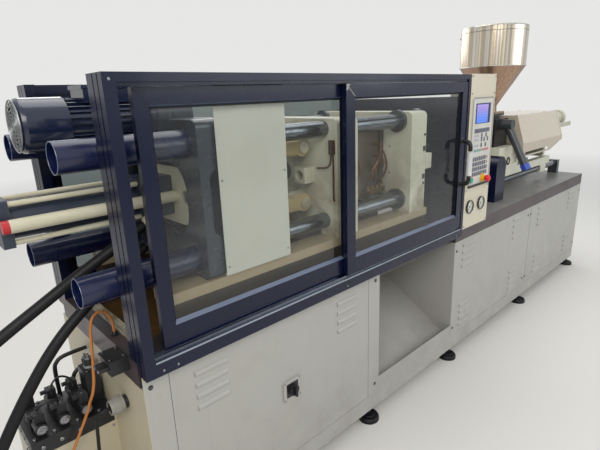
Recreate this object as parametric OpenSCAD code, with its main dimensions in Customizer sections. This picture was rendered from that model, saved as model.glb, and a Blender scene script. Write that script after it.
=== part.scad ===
// Horizontal toggle-clamp injection moulding machine with a closed mould. While a part is
// drawn, x runs from the clamp end to the injection end, y from the front guard to the back
// and z up. in_frame() then puts the origin on the floor under the middle.

/* [Base] */
// Length of the welded base
base_l = 4316; // [4200:1:4600]
// Depth of the base, front panel to rear panel
base_d = 805; // [780:1:860]
// Set-back of the front panels from the front of the guard
base_y = 37; // [30:1:45]
// Height of the base top above the floor
base_h = 893; // [860:1:930]
// Height of the brown top channel
channel_h = 91; // [70:1:100]
// Height of the bottom sill
sill_h = 88; // [60:1:110]
// Ground clearance under the sill
foot_h = 79; // [65:1:100]
// Length of the cabinet under the clamp
clamp_l = 1222; // [1180:1:1240]
// Width of the parts opening
chute_l = 742; // [700:1:745]
// Length of the left injection-side panel
panel_a_l = 1168; // [1000:1:1300]
// Sheet thickness of panels and covers
sheet_t = 2; // [1.5:0.5:3]
// Width of the frame posts
post_w = 80; // [60:1:90]

/* [Feet] */
// Radius of the rubber pad
pad_r = 55; // [40:1:70]
// Height of the rubber pad
pad_h = 26; // [18:1:35]
// Radius of the levelling stud
foot_stud_r = 10; // [8:1:14]

/* [Louvres and switch] */
// Length of one pressed louvre
louvre_l = 132; // [90:1:160]
// Pitch of the louvres in a group
louvre_pitch = 45; // [38:1:48]
// How far a louvre stands proud of its panel
louvre_proud = 7; // [4:1:9]
// Side of the main switch plate
switch_w = 95; // [80:1:120]
// Radius of the main switch knob
switch_knob_r = 24; // [18:1:30]

/* [Guard] */
// Length of the guard
guard_l = 1967; // [1966:1:2000]
// Height of the guard's lower edge
guard_z = 853; // [845:1:858]
// Height of the guard's upper edge
guard_top = 1763; // [1750:1:1900]
// Distance from the front guard plane to the rear guard plane
guard_d = 866; // [860:1:900]
// Width of the guard frame's members
member_w = 36; // [30:1:42]
// Depth of the guard frame's members
member_d = 60; // [60:1:62]
// Depth of the second post profile behind the first
post_back_d = 47; // [30:1:50]
// Height of the bottom guide rail
sill_rail_h = 52; // [46:1:60]
// Height of the two steel tracks on the guide rail
track_h = 8; // [5:1:10]
// Left edge of the operator's door
door_x = 945; // [900:1:980]
// Width of the door's stiles
door_stile = 55; // [45:1:62]
// Left edge of the left sliding window
window_x = 87; // [60:1:120]
// Width of the left window's stiles
window_stile = 46; // [40:1:55]
// Height of the top rails of door and window
head_rail = 50; // [40:1:60]
// Height of the bottom rails of door and window
foot_rail = 74; // [60:1:85]
// Thickness of the operator's door
door_t = 24; // [20:1:25]
// Thickness of the left window frame
window_t = 22; // [18:1:23]
// Thickness of the panes
pane_t = 5; // [4:1:8]
// Gap that lets a sliding piece run
run_gap = 0.3; // [0.2:0.05:0.4]

/* [Door handle] */
// Height of the handle's lower end
handle_z = 1165; // [1150:1:1200]
// Length of the handle
handle_l = 262; // [180:1:280]
// How far the handle stands out
handle_out = 66; // [55:1:75]
// Radius of the grip
grip_r = 13; // [10:1:16]

/* [Inner sheet guard] */
// Left edge of the pale inner sheet
inner_x = 362; // [340:1:380]
// Width of the inner sheet
inner_w = 304; // [250:1:330]
// Lower edge of the inner sheet
inner_z = 1087; // [1060:1:1120]

/* [Control column] */
// Width of the column
column_w = 297; // [290:1:320]
// Depth of the column
column_d = 120; // [100:1:140]
// How far the column stands in front of the guard
column_out = 2; // [0:1:20]
// Top of the column
column_top = 1766; // [1760:1:1800]
// Width of the controller's front
controller_w = 256; // [250:1:270]
// Lower edge of the controller
controller_z = 1140; // [1130:1:1145]
// Height of the controller's front
controller_h = 502; // [495:1:520]
// Thickness of the controller's front
bezel_t = 6; // [4:1:10]
// Width of the visible screen
lcd_w = 184; // [170:1:190]
// Height of the visible screen
lcd_h = 113; // [108:1:120]
// Lower edge of the screen
lcd_z = 1496; // [1490:1:1500]
// Side of a square key
key_w = 15; // [12:1:17]
// Width of the field of keys
key_field_w = 179; // [175:1:190]
// Height of the embossed keys
key_out = 1.2; // [0.8:0.1:2]
// Radius of a pressure gauge
gauge_r = 40; // [36:0.5:44]
// Height of the gauges
gauge_z = 1020; // [1000:1:1030]
// Distance between the two gauges
gauge_pitch = 140; // [130:1:150]
// Radius of the start button
button_r = 14; // [11:1:16]
// Radius of the emergency stop's head
stop_r = 20; // [16:1:24]
// Length of the emergency stop in front of the controller
stop_out = 52; // [40:1:60]

/* [Clamp unit] */
// Height of the machine axis
axis_z = 1343; // [1330:1:1360]
// Distance of the machine axis behind the guard plane
axis_y = 416; // [410:1:425]
// Radius of the tie bars
bar_r = 35; // [32:1:38]
// Tie bar spacing across the machine
bar_dy = 522; // [510:1:530]
// Distance of the tie bars from the upper and lower edges of the platens
bar_edge = 44; // [38:1:48]
// Left end of the tie bars
bar_x = 150; // [120:1:200]
// Width of the platens
platen_w = 686; // [680:1:690]
// Height of the platens
platen_h = 492; // [486:1:500]
// Left face of the tail platen
tail_x = 299; // [290:1:310]
// Thickness of the tail platen
tail_t = 138; // [120:1:140]
// Left face of the fixed platen
fixed_x = 1519; // [1500:1:1540]
// Thickness of the fixed platen
fixed_t = 136; // [120:1:150]
// Thickness of the moving platen
moving_t = 134; // [120:1:150]
// Height of the closed mould
mould_h = 420; // [400:1:430]
// Opening stroke of the moving platen
stroke = 300; // [250:1:300]
// Radial running clearance on the tie bars
bar_clear = 0.05; // [0.03:0.01:0.1]
// Radius of the tie bar nuts
bar_nut_r = 55; // [50:1:58]
// Length of the tie bar nuts
bar_nut_l = 60; // [40:1:70]
// Outer radius of the tie bar tube covers
tube_r = 47.5; // [45:0.5:50]
// Wall of the tube covers
tube_wall = 3; // [2:0.5:4]
// Left end of the tube covers
tube_x = -107; // [-140:1:-60]
// Height of the platen slide rails above the base
rail_h = 180; // [170:1:190]
// Width of the platen slide rails
rail_w = 107; // [90:1:110]

/* [Mould] */
// Width of the mould
mould_w = 342; // [320:1:360]
// Height of the mould across the machine axis
mould_v = 326; // [300:1:330]
// Thickness of the fixed mould half
mould_fixed_t = 200; // [180:1:210]

/* [Toggle] */
// Height of the outer toggle pins above and below the axis
toggle_dz = 125; // [120:1:128]
// Distance of the outer pins from the platen faces
pin_off = 46; // [43:1:50]
// Radius of the toggle pins
pin_r = 20; // [16:1:22]
// Radius of the link eyes
eye_r = 40; // [36:1:42]
// Thickness of a link plate
plate_t = 40; // [36:0.5:40]
// Inner face of the rear link plates from the machine axis
rear_plate_y = 100; // [99:0.5:101]
// Distance along the rear link to its ear
ear_x = 110; // [105:1:115]
// Offset of the ear towards the machine axis
ear_off = 45; // [43:1:47]
// Radius of the ear and of the cross link eyes
ear_r = 22; // [20:1:24]
// Radius of the cross link pins
cross_pin_r = 11; // [9:1:12]
// Height of the crosshead pins above and below the axis
cross_dz = 62; // [61:1:63]
// Length of a cross link between its pins
cross_l = 153.8; // [152:0.1:156]
// Radius of the crosshead guide rods
guide_r = 20; // [16:1:22]
// Distance of the guide rods from the machine axis
guide_dy = 166; // [160:1:168]

/* [Clamp cylinder] */
// Left end of the cylinder
cyl_x = -234; // [-260:1:-200]
// Side of the square cylinder heads
cyl_head_w = 150; // [140:1:160]
// Thickness of the left head
cyl_head_t = 32; // [25:1:40]
// Outer radius of the cylinder barrel
cyl_r = 62; // [58:1:64]
// Bore radius of the cylinder
cyl_bore_r = 50; // [45:1:52]
// Radius of the piston rod
rod_r = 25; // [20:1:28]
// Radius of the cylinder's tension rods
tension_r = 9; // [7:1:10]
// Radius of the position transducer tube
transducer_r = 21; // [18:1:22]

/* [Die height motor] */
// Height of the motor axis
motor_z = 1626; // [1620:1:1640]
// Left end of the fan cowl
motor_x = -127; // [-140:1:-110]
// Radius of the fan cowl
cowl_r = 85; // [80:1:90]
// Length of the fan cowl
cowl_l = 142; // [120:1:160]
// Height of the terminal box above the motor axis
terminal_dz = 120; // [115:1:125]

/* [Hopper] */
// Distance of the hopper axis from the clamp end
hopper_x = 3106; // [3090:1:3120]
// Outer radius of the hopper
hopper_r = 233; // [220:1:245]
// Top of the hopper lid
hopper_top = 2124; // [2100:1:2160]
// Height of the lid's skirt
lid_h = 60; // [50:1:70]
// Height where the cone starts
cone_z = 1840; // [1820:1:1860]
// Height where the cone ends
throat_z = 1560; // [1550:1:1575]
// Height of the hopper's flange face
flange_z = 1500; // [1490:1:1510]
// Radius of the hopper throat
throat_r = 55; // [50:1:60]

/* [Injection unit] */
// Outer radius of the barrel
barrel_r = 60; // [56:1:63]
// Radius of the screw
screw_r = 22; // [20:1:24]
// Left end of the thick part of the barrel
barrel_x = 1760; // [1740:1:1800]
// Retracting stroke of the carriage
carriage_stroke = 250; // [200:1:250]
// Left end of the carriage casting
carriage_x = 2960; // [2950:1:2970]
// Width of the carriage
carriage_w = 344; // [330:1:350]
// Top of the carriage's beams
carriage_z = 1079; // [1070:1:1090]
// Height of the carriage guide rods
slide_z = 985; // [980:1:990]
// Radius of the carriage guide rods
slide_r = 25; // [22:1:28]
// Left end of the injection cover
cover_x = 3246; // [3240:1:3260]
// Length of the injection cover
cover_l = 866; // [850:1:880]
// Top of the injection cover
cover_top = 1477; // [1470:1:1485]
// Radius of the injection cylinders
inj_cyl_r = 60; // [55:1:62]
// Right end of the injection cylinders
inj_cyl_end = 4400; // [4380:1:4420]

/* [Hidden] */
$fn = 64;

// Model frame: extreme faces of the machine at rest
valve_box_l = 283;
x_min = min(cyl_x, -valve_box_l);
drive_end = inj_cyl_end + 40;
x_max = drive_end;
door_y = 3;
y_min = min(-column_out - bezel_t - stop_out, door_y - handle_out);
y_max = guard_d + handle_out - door_y;
module in_frame() translate([-(x_min + x_max) / 2, -(y_min + y_max) / 2, 0]) children();

// Colours
cream = "#cfc8b2";
pale = "#c6cbbf";
navy = "#1b2340";
brown = "#4a3634";
steel = "#8d9093";
dark = "#2b2d30";
black = "#17181a";

// Helpers
module block(from, to) translate(from) cube(to - from);
module rod_x(r, x0, x1) translate([x0, 0, 0]) rotate([0, 90, 0]) cylinder(r = r, h = x1 - x0);
module rod_y(r, y0, y1) translate([0, y0, 0]) rotate([-90, 0, 0]) cylinder(r = r, h = y1 - y0);
// A 2D outline in x and z, pushed along y
module along_y(y0, y1) translate([0, y1, 0]) rotate([90, 0, 0]) linear_extrude(y1 - y0) children();
// A 2D outline in y and z, pushed along x
module along_x(x0, x1)
    translate([x0, 0, 0]) rotate([90, 0, 90]) linear_extrude(x1 - x0) children();
// A frame round an opening, in x and z
module ring_frame(size, left, right, low, top) difference() {
    square(size);
    translate([left, low]) square([size[0] - left - right, size[1] - low - top]);
}
// A rectangle with true round corners
module soft_rect(size, r) union() {
    translate([r, 0]) square([size[0] - 2 * r, size[1]]);
    translate([0, r]) square([size[0], size[1] - 2 * r]);
    for (x = [r, size[0] - r], y = [r, size[1] - r]) translate([x, y]) circle(r);
}
module mirror_back() translate([0, guard_d, 0]) mirror([0, 1, 0]) children();

// Derived places
base_back = base_y + base_d;
channel_z = base_h - channel_h;
sill_top = foot_h + sill_h;
table_x = clamp_l + chute_l;
seam_x = table_x + panel_a_l;
seam_gap = 10;
frame_y = base_y + sheet_t;
frame_back = base_back - sheet_t;
rail_y = axis_y - platen_w / 2;
rail_top = base_h + rail_h;
moving_x = fixed_x - mould_h - moving_t;
bar_dz = platen_h - 2 * bar_edge;
platen_z = axis_z - platen_h / 2;

/* Base */
sill_w = 60;
pan_t = 4;
pan_drop = 28;
pan_end = clamp_l - 20;
chute_t = 3;
valve_box_y = 355;
valve_box_w = 245;
valve_box_h = 568;

module base_frame() color(cream) in_frame() {
    difference() {
        union() {
            // Sills and cross members
            block([0, frame_y, foot_h], [base_l, frame_y + sill_w, sill_top]);
            block([0, frame_back - sill_w, foot_h], [base_l, frame_back, sill_top]);
            for (x = [0, clamp_l - sill_w, table_x, seam_x - sill_w / 2, base_l - sill_w])
                block([x, frame_y, foot_h], [x + sill_w, frame_back, sill_top]);
            // Posts and upper side members
            for (x = [0, clamp_l - post_w, table_x, seam_x - post_w / 2, base_l - post_w])
                for (y = [frame_y, frame_back - sill_w])
                    block([x, y, foot_h], [x + post_w, y + sill_w, channel_z]);
            for (y = [frame_y, frame_back - sill_w], span = [[0, clamp_l], [table_x, base_l]])
                block([span[0], y, channel_z - sill_w], [span[1], y + sill_w, channel_z]);
            // End walls of the two cabinets
            for (x = [0, clamp_l - chute_t, table_x, base_l - chute_t])
                block([x, frame_y, foot_h], [x + chute_t, frame_back, channel_z]);
            // Sloping parts chute
            chute();
            // Tank box that carries the valves
            block([-valve_box_l, valve_box_y, foot_h], [0, valve_box_y + valve_box_w, valve_box_h]);
        }
        // Seam recess round the tank box lid
        block([-valve_box_l - 1, valve_box_y - 1, valve_box_h - 26],
              [-1, valve_box_y + 3, valve_box_h - 22]);
    }
}
chute_low = 250;
chute_high = 640;
module chute() along_x(clamp_l - 1, table_x + 1) polygon([
    [frame_y, foot_h + 20], [frame_y, chute_low], [frame_y + 4, chute_low],
    [frame_y + 60, chute_low - 60], [frame_back - 20, chute_high], [frame_back, chute_high],
    [frame_back, chute_high - chute_t], [frame_back - 19, chute_high - chute_t],
    [frame_y + 60, chute_low - 65], [frame_y + 4, chute_low - 8], [frame_y + 4, foot_h + 20]]);

beam_w = 60;
module base_top() color(brown) in_frame() {
    front = member_d;
    back = guard_d - member_d;
    inner = rail_y + rail_w;
    inner_back = axis_y + platen_w / 2 - rail_w;
    difference() {
        union() {
            // Clamp side ring and oil pan
            block([0, front, channel_z], [guard_l, back, base_h]);
            // Injection table with its edge channel
            block([guard_l, base_y, channel_z], [base_l, base_back, base_h]);
        }
        // Pan hollow between the slide rails
        block([beam_w, inner, base_h - pan_drop], [pan_end, inner_back, base_h + 1]);
        block([beam_w, front + 8, channel_z - 1], [pan_end, back - 8, base_h - pan_drop - pan_t]);
        // Drop opening under the mould
        block([clamp_l + 12, inner, channel_z - 1], [fixed_x - 20, inner_back, base_h + 1]);
        // Hollow underside of the table
        block([guard_l + 8, base_y + 8, channel_z - 1], [base_l - 8, base_back - 8, base_h - 8]);
        block([fixed_x + 4, front + 8, channel_z - 1], [guard_l - 8, back - 8, base_h - 12]);
    }
    // Slide rails of the platens
    for (y = [rail_y, inner_back])
        difference() {
            block([tail_x - 160, y, base_h], [fixed_x + fixed_t + 30, y + rail_w, rail_top]);
            // Recess that leaves a top ledge
            block([tail_x - 161, y - 1, base_h + 12], [fixed_x + fixed_t + 31, y + 9, rail_top - 38]);
            block([tail_x - 161, y + rail_w - 9, base_h + 12],
                  [fixed_x + fixed_t + 31, y + rail_w + 1, rail_top - 38]);
        }
}

// Four pressed louvres centred on x and z
louvre_arc = 14;
module louvres(x, z, count = 4) {
    for (i = [0 : count - 1])
        translate([x, 0, z + (i - (count - 1) / 2) * louvre_pitch])
            intersection() {
                translate([-louvre_l / 2, louvre_arc - louvre_proud, 0]) rotate([0, 90, 0])
                    cylinder(r = louvre_arc, h = louvre_l, $fn = 32);
                block([-louvre_l / 2, -louvre_proud - 1, -louvre_arc],
                      [louvre_l / 2, sheet_t / 2, louvre_arc]);
            }
}
strip_l = 88;
seam_w = 1.2;
upper_louvre_z = 708;
low_louvre_z = 288;
louvre_inset = 159;
module clamp_panel() {
    top = guard_z - run_gap;
    difference() {
        block([0, 0, sill_top + 4], [clamp_l, sheet_t, top]);
        for (x = [strip_l, clamp_l - strip_l])
            block([x, -1, sill_top + 3], [x + seam_w, sheet_t / 2, top + 1]);
    }
    for (x = [strip_l + louvre_inset, clamp_l - strip_l - louvre_inset]) louvres(x, upper_louvre_z);
}
module injection_panel(x0, x1, inset) {
    block([x0, 0, sill_top + 4], [x1, sheet_t, channel_z - 1]);
    for (x = [x0 + inset, x1 - 248], z = [low_louvre_z, upper_louvre_z - 16]) louvres(x, z);
}
switch_x = 615;
switch_z = 497;
switch_t = 8;
switch_shaft_r = 5;
module front_panels() color(cream) in_frame() translate([0, base_y, 0]) {
    difference() {
        union() {
            clamp_panel();
            // Plate of the main switch
            translate([switch_x - switch_w / 2, 0, switch_z - switch_w / 2])
                along_y(-switch_t, 0) soft_rect([switch_w, switch_w], 8);
        }
        translate([switch_x, 0, switch_z]) rod_y(switch_shaft_r + bar_clear, -switch_t - 1, sheet_t + 1);
    }
    injection_panel(table_x + 2, seam_x - seam_gap / 2, 162);
    injection_panel(seam_x + seam_gap / 2, base_l - 2, 217);
}
module rear_panels() color(cream) in_frame() {
    translate([0, base_back, 0]) mirror([0, 1, 0]) {
        block([2, 0, sill_top + 4], [clamp_l - 2, sheet_t, channel_z - 1]);
        for (x = [strip_l + louvre_inset, clamp_l - strip_l - louvre_inset])
            louvres(x, upper_louvre_z);
        block([clamp_l + 2, 0, sill_top + 4], [table_x - 2, sheet_t, channel_z - 1]);
        injection_panel(table_x + 2, seam_x - seam_gap / 2, 162);
        injection_panel(seam_x + seam_gap / 2, base_l - 2, 217);
    }
    // End panel below the injection table
    difference() {
        block([base_l, frame_y + 20, sill_top + 4], [base_l + sheet_t, frame_back - 20, channel_z - 1]);
        translate([base_l - 1, axis_y, 300]) rod_x(32, 0, sheet_t + 2);
    }
}
switch_grip_l = 40;
module isolator_knob() color(black) in_frame()
    translate([switch_x, base_y - switch_t - run_gap, switch_z]) {
        rod_y(switch_knob_r, -16, 0);
        translate([-5, -16, -switch_knob_r]) along_y(-14, 1) soft_rect([10, 2 * switch_knob_r], 4);
        rod_y(switch_shaft_r, -1, switch_t + run_gap);
    }

foot_x = [post_w / 2, clamp_l - post_w / 2, table_x + post_w / 2, seam_x, base_l - post_w / 2];
module levelling_feet() color(black) in_frame()
    for (x = foot_x, y = [frame_y + sill_w / 2, frame_back - sill_w / 2]) translate([x, y, 0]) {
        rotate_extrude($fn = 48) polygon([
            [0, 0], [pad_r, 0], [pad_r, pad_h * 0.6], [pad_r - 6, pad_h], [pad_r * 0.6, pad_h],
            [pad_r * 0.55, pad_h + 8], [foot_stud_r, pad_h + 8], [foot_stud_r, foot_h], [0, foot_h]]);
        translate([0, 0, foot_h - 14]) cylinder(r = foot_stud_r * 1.8, h = 12, $fn = 6);
    }

/* Guard */
opening_z = guard_z + sill_rail_h;
track_top = opening_z + track_h;
door_z = track_top + run_gap;
door_top = guard_top - member_w - 2;
door_h = door_top - door_z;
end_post_w = 24;
door_r = guard_l - end_post_w;
window_y = door_y + door_t + 4;
groove = 6;
track_t = 4;
back_post_y = member_d + post_back_d;
module guard_frame() {
    // Left post with its back profile
    translate([0, 0, guard_z]) linear_extrude(guard_top - guard_z) polygon([
        [0, 0], [member_w, 0], [member_w, member_d], [0, member_d], [0, member_d / 2 + groove / 2],
        [groove, member_d / 2 + groove / 2], [groove, member_d / 2 - groove / 2],
        [0, member_d / 2 - groove / 2]]);
    translate([0, 0, base_h]) linear_extrude(guard_top - base_h) polygon([
        [groove, member_d - 1], [member_w, member_d - 1], [member_w, back_post_y], [0, back_post_y],
        [0, member_d + groove], [groove, member_d + groove]]);
    block([door_r, 0, guard_z], [guard_l, member_d, guard_top]);
    // Top rail with a stepped front
    along_x(member_w - 1, door_r + 1) polygon([
        [0, guard_top], [0, guard_top - member_w * 0.7], [8, guard_top - member_w * 0.7],
        [8, guard_top - member_w], [member_d, guard_top - member_w], [member_d, guard_top]]);
    // Bottom rail with two tracks
    block([member_w - 1, 0, guard_z], [door_r + 1, member_d, opening_z]);
    for (y = [door_y + door_t / 2, window_y + window_t / 2])
        block([member_w - 1, y - track_t / 2, opening_z - 1], [door_r + 1, y + track_t / 2, track_top]);
}
bead_w = 10;
bead_t = 4;
// One sliding frame
module sliding_frame(at, width, y, t, stile) translate([at, 0, door_z]) {
    difference() {
        along_y(y, y + t) ring_frame([width, door_h], stile, stile, foot_rail, head_rail);
        // Rebate that holds the pane
        translate([stile - bead_w, 0, foot_rail - bead_w])
            along_y(y + t - bead_t - pane_t, y + t + 1)
                square([width - 2 * stile + 2 * bead_w, door_h - foot_rail - head_rail + 2 * bead_w]);
        // Front bevel below the pane
        translate([stile, y, foot_rail]) rotate([45, 0, 0])
            cube([width - 2 * stile, 10, 10]);
    }
}
module pane(at, width, y, t, stile) translate([at + stile - bead_w, 0, door_z + foot_rail - bead_w])
    along_y(y + t - bead_t - pane_t, y + t - bead_t)
        square([width - 2 * stile + 2 * bead_w, door_h - foot_rail - head_rail + 2 * bead_w]);
door_w = door_r - run_gap - door_x;
window_w = door_x + window_stile + 10 - window_x;

module front_guard_frame() color(navy) in_frame() guard_frame();
mullion_x = door_x - 6;
module rear_guard_frame() color(navy) in_frame() mirror_back() {
    guard_frame();
    // Fixed window surround at the clamp end
    difference() {
        translate([member_w, 0, track_top])
            along_y(window_y, window_y + window_t)
                ring_frame([mullion_x - member_w, guard_top - member_w - track_top],
                    window_stile, window_stile, foot_rail, head_rail);
        translate([member_w + window_stile - bead_w, window_y + window_t - bead_t - pane_t,
                   track_top + foot_rail - bead_w])
            cube([mullion_x - member_w - 2 * window_stile + 2 * bead_w, pane_t + bead_t + 1,
                  guard_top - member_w - track_top - foot_rail - head_rail + 2 * bead_w]);
    }
}
module rear_window() color("#9fb0ac") in_frame() mirror_back()
    translate([member_w + window_stile - bead_w, window_y + window_t - bead_t - pane_t,
               track_top + foot_rail - bead_w])
        cube([mullion_x - member_w - 2 * window_stile + 2 * bead_w, pane_t,
              guard_top - member_w - track_top - foot_rail - head_rail + 2 * bead_w]);
module sheet_guard() color(pale) in_frame() {
    block([inner_x, member_d, inner_z], [inner_x + inner_w, member_d + sheet_t, guard_top - 8]);
    // Stiffening flange along the lower edge
    block([inner_x, member_d, inner_z - 8], [inner_x + inner_w, member_d + 10, inner_z]);
}
module operator_door() color(navy) in_frame()
    sliding_frame(door_x, door_w, door_y, door_t, door_stile);
module operator_glass() color("#9fb0ac") in_frame() pane(door_x, door_w, door_y, door_t, door_stile);
module left_window() color(navy) in_frame()
    sliding_frame(window_x, window_w, window_y, window_t, window_stile);
module left_glass() color("#9fb0ac") in_frame()
    pane(window_x, window_w, window_y, window_t, window_stile);

handle_x = door_r - door_stile + grip_r + 1;
module handle_shape() translate([handle_x, door_y, 0]) {
    stem = 24;
    for (z = [handle_z, handle_z + handle_l - stem])
        translate([-stem / 2, 0, z]) along_y(grip_r - handle_out - 4, 0) soft_rect([stem, stem], 5);
    translate([0, grip_r - handle_out, handle_z + stem / 2]) cylinder(r = grip_r, h = handle_l - stem);
}
module door_handle() color(black) in_frame() handle_shape();
module rear_gate() color(navy) in_frame() mirror_back() {
    sliding_frame(door_x, door_w, door_y, door_t, door_stile);
    handle_shape();
}
module rear_glass() color("#9fb0ac") in_frame() mirror_back()
    pane(door_x, door_w, door_y, door_t, door_stile);

/* Control column */
column_x = guard_l;
column_mid = column_x + column_w / 2;
column_back = column_d - column_out;
bezel_y = -column_out - bezel_t;
body_inset = 8;
body_deep = 60;
gauge_out = 12;
gauge_deep = 22;
button_x = column_mid - 99.5;
stop_x = column_mid + 34.5;
lower_z = controller_z + 38;
gauge_mid = column_mid - 17;
module control_column() color(cream) in_frame() difference() {
    block([column_x, -column_out, base_h], [column_x + column_w, column_back, column_top]);
    block([column_x + sheet_t, -column_out + sheet_t, base_h + sheet_t],
          [column_x + column_w - sheet_t, column_back - sheet_t, column_top - sheet_t]);
    // Window of the controller
    block([column_mid - controller_w / 2 + body_inset, -column_out - 1, controller_z + body_inset],
          [column_mid + controller_w / 2 - body_inset, -column_out + sheet_t + 1,
           controller_z + controller_h - body_inset]);
    for (x = [-gauge_pitch / 2, gauge_pitch / 2])
        translate([gauge_mid + x, 0, gauge_z])
            rod_y(gauge_r - 4, -column_out - 1, -column_out + sheet_t + 1);
    // Seams above and below the controller
    for (z = [controller_z - 8, controller_z + controller_h + 6])
        block([column_x - 1, -column_out - 1, z], [column_x + column_w + 1, -column_out + 0.8, z + 1.5]);
}
// Rows of keys: height from the screen, places, used places
key_rows = [
    [-46, 9, [0 : 8]], [-74, 9, [0, 1, 2, 4, 6.6]], [-98, 9, [0, 1, 2, 4, 5.6, 7.6]],
    [-130, 9, [0, 1, 2, 4, 6.6]], [-158, 9, [0 : 8]], [-206, 8, [0 : 7]], [-235, 8, [0 : 7]],
    [-264, 8, [0 : 7]], [-293, 8, [0 : 7]]];
module controller() color("#b9bab4") in_frame() difference() {
    union() {
        translate([column_mid - controller_w / 2, 0, controller_z])
            along_y(bezel_y, -column_out) soft_rect([controller_w, controller_h], 10);
        block([column_mid - controller_w / 2 + body_inset + run_gap, -column_out,
               controller_z + body_inset + run_gap],
              [column_mid + controller_w / 2 - body_inset - run_gap, body_deep - column_out,
               controller_z + controller_h - body_inset - run_gap]);
        // Embossed keys of the membrane
        for (row = key_rows, i = row[2])
            translate([column_mid - key_field_w / 2 + i * (key_field_w - key_w) / (row[1] - 1),
                       bezel_y - key_out, lcd_z + row[0]])
                cube([key_w, key_out + 1, key_w]);
        // Collar of the emergency stop
        translate([stop_x, bezel_y, lower_z]) rod_y(stop_r + 6, -3, 1);
        translate([button_x, bezel_y, lower_z]) rod_y(button_r + 4, -3, 1);
        // Drip ledge along the lower edge
        block([column_mid - controller_w / 2, bezel_y - 8, controller_z],
              [column_mid + controller_w / 2, bezel_y + 1, controller_z + 8]);
    }
    // Screen recess
    block([column_mid - lcd_w / 2, bezel_y - 2, lcd_z],
          [column_mid + lcd_w / 2, bezel_y + 4, lcd_z + lcd_h]);
    translate([stop_x, 0, lower_z]) rod_y(stop_r / 2 + run_gap, bezel_y - 5, -column_out + 30);
    translate([button_x, 0, lower_z]) rod_y(button_r + run_gap, bezel_y - 5, -column_out + 12);
}
button_travel = 4;
module start_button() color("#2f9a4a") in_frame() translate([button_x, bezel_y, lower_z])
    rotate([-90, 0, 0]) translate([0, 0, -9]) rotate_extrude() polygon([
        [0, 0], [button_r - 2, 0], [button_r, 2], [button_r, bezel_t + 9 + 12 - button_travel - 2],
        [0, bezel_t + 9 + 12 - button_travel - 2]]);
stop_travel = 5;
module emergency_stop() color("#b3202a") in_frame() translate([stop_x, bezel_y, lower_z])
    rotate([-90, 0, 0]) translate([0, 0, -stop_out]) rotate_extrude() polygon([
        [0, 0], [stop_r * 0.6, 1.5], [stop_r * 0.9, 6], [stop_r, 11], [stop_r, 19], [stop_r * 0.8, 23],
        [stop_r / 2, 25], [stop_r / 2, stop_out + 30], [0, stop_out + 30]]);
gauge_rim = 4;
dial_deep = 9;
module pressure_gauges() color("#c9cbc8") in_frame()
    for (x = [-gauge_pitch / 2, gauge_pitch / 2])
        translate([gauge_mid + x, -column_out, gauge_z]) rotate([-90, 0, 0]) rotate_extrude() polygon([
            [0, dial_deep - gauge_out], [gauge_r - gauge_rim, dial_deep - gauge_out],
            [gauge_r - gauge_rim, -gauge_out], [gauge_r - 1, -gauge_out], [gauge_r, 1 - gauge_out],
            [gauge_r, 0], [gauge_r - 5, 0], [gauge_r - 5, gauge_deep], [0, gauge_deep]]);
needle_l = 29;
needle_t = 1;
// The needle points to zero
module needle(x) translate([gauge_mid + x, -column_out - gauge_out + dial_deep - run_gap, gauge_z])
    rotate([0, -45, 0]) {
        rod_y(3.5, -2.5, 0);
        translate([-needle_l, -2, -1]) cube([needle_l + 6, needle_t, 2]);
    }
module gauge_needle_a() color(black) in_frame() needle(-gauge_pitch / 2);
module gauge_needle_b() color(black) in_frame() needle(gauge_pitch / 2);

/* Clamp unit */
bar_places = [for (y = [-1, 1], z = [-1, 1]) [axis_y + y * bar_dy / 2, axis_z + z * bar_dz / 2]];
module at_bars() for (p = bar_places) translate([0, p[0], p[1]]) children();
module on_axis() translate([0, axis_y, axis_z]) children();
bar_end = fixed_x + fixed_t + bar_nut_l;
collar_l = 20;
module tie_bars() color(steel) in_frame() at_bars() {
    rod_x(bar_r, bar_x, bar_end);
    // Collar on the mould side and nut outside
    rod_x(bar_nut_r, fixed_x - collar_l, fixed_x);
    translate([fixed_x + fixed_t, 0, 0]) rotate([0, 90, 0]) cylinder(r = bar_nut_r, h = bar_nut_l - 12, $fn = 6);
}
ring_r = 62.5;
ring_t = 15;
nozzle_hole_r = 50;
bolt_r = 7;
bolt_dy = 420;
bolt_dz = 140;
bolt_deep = 35;
corner_r = 26;
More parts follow.
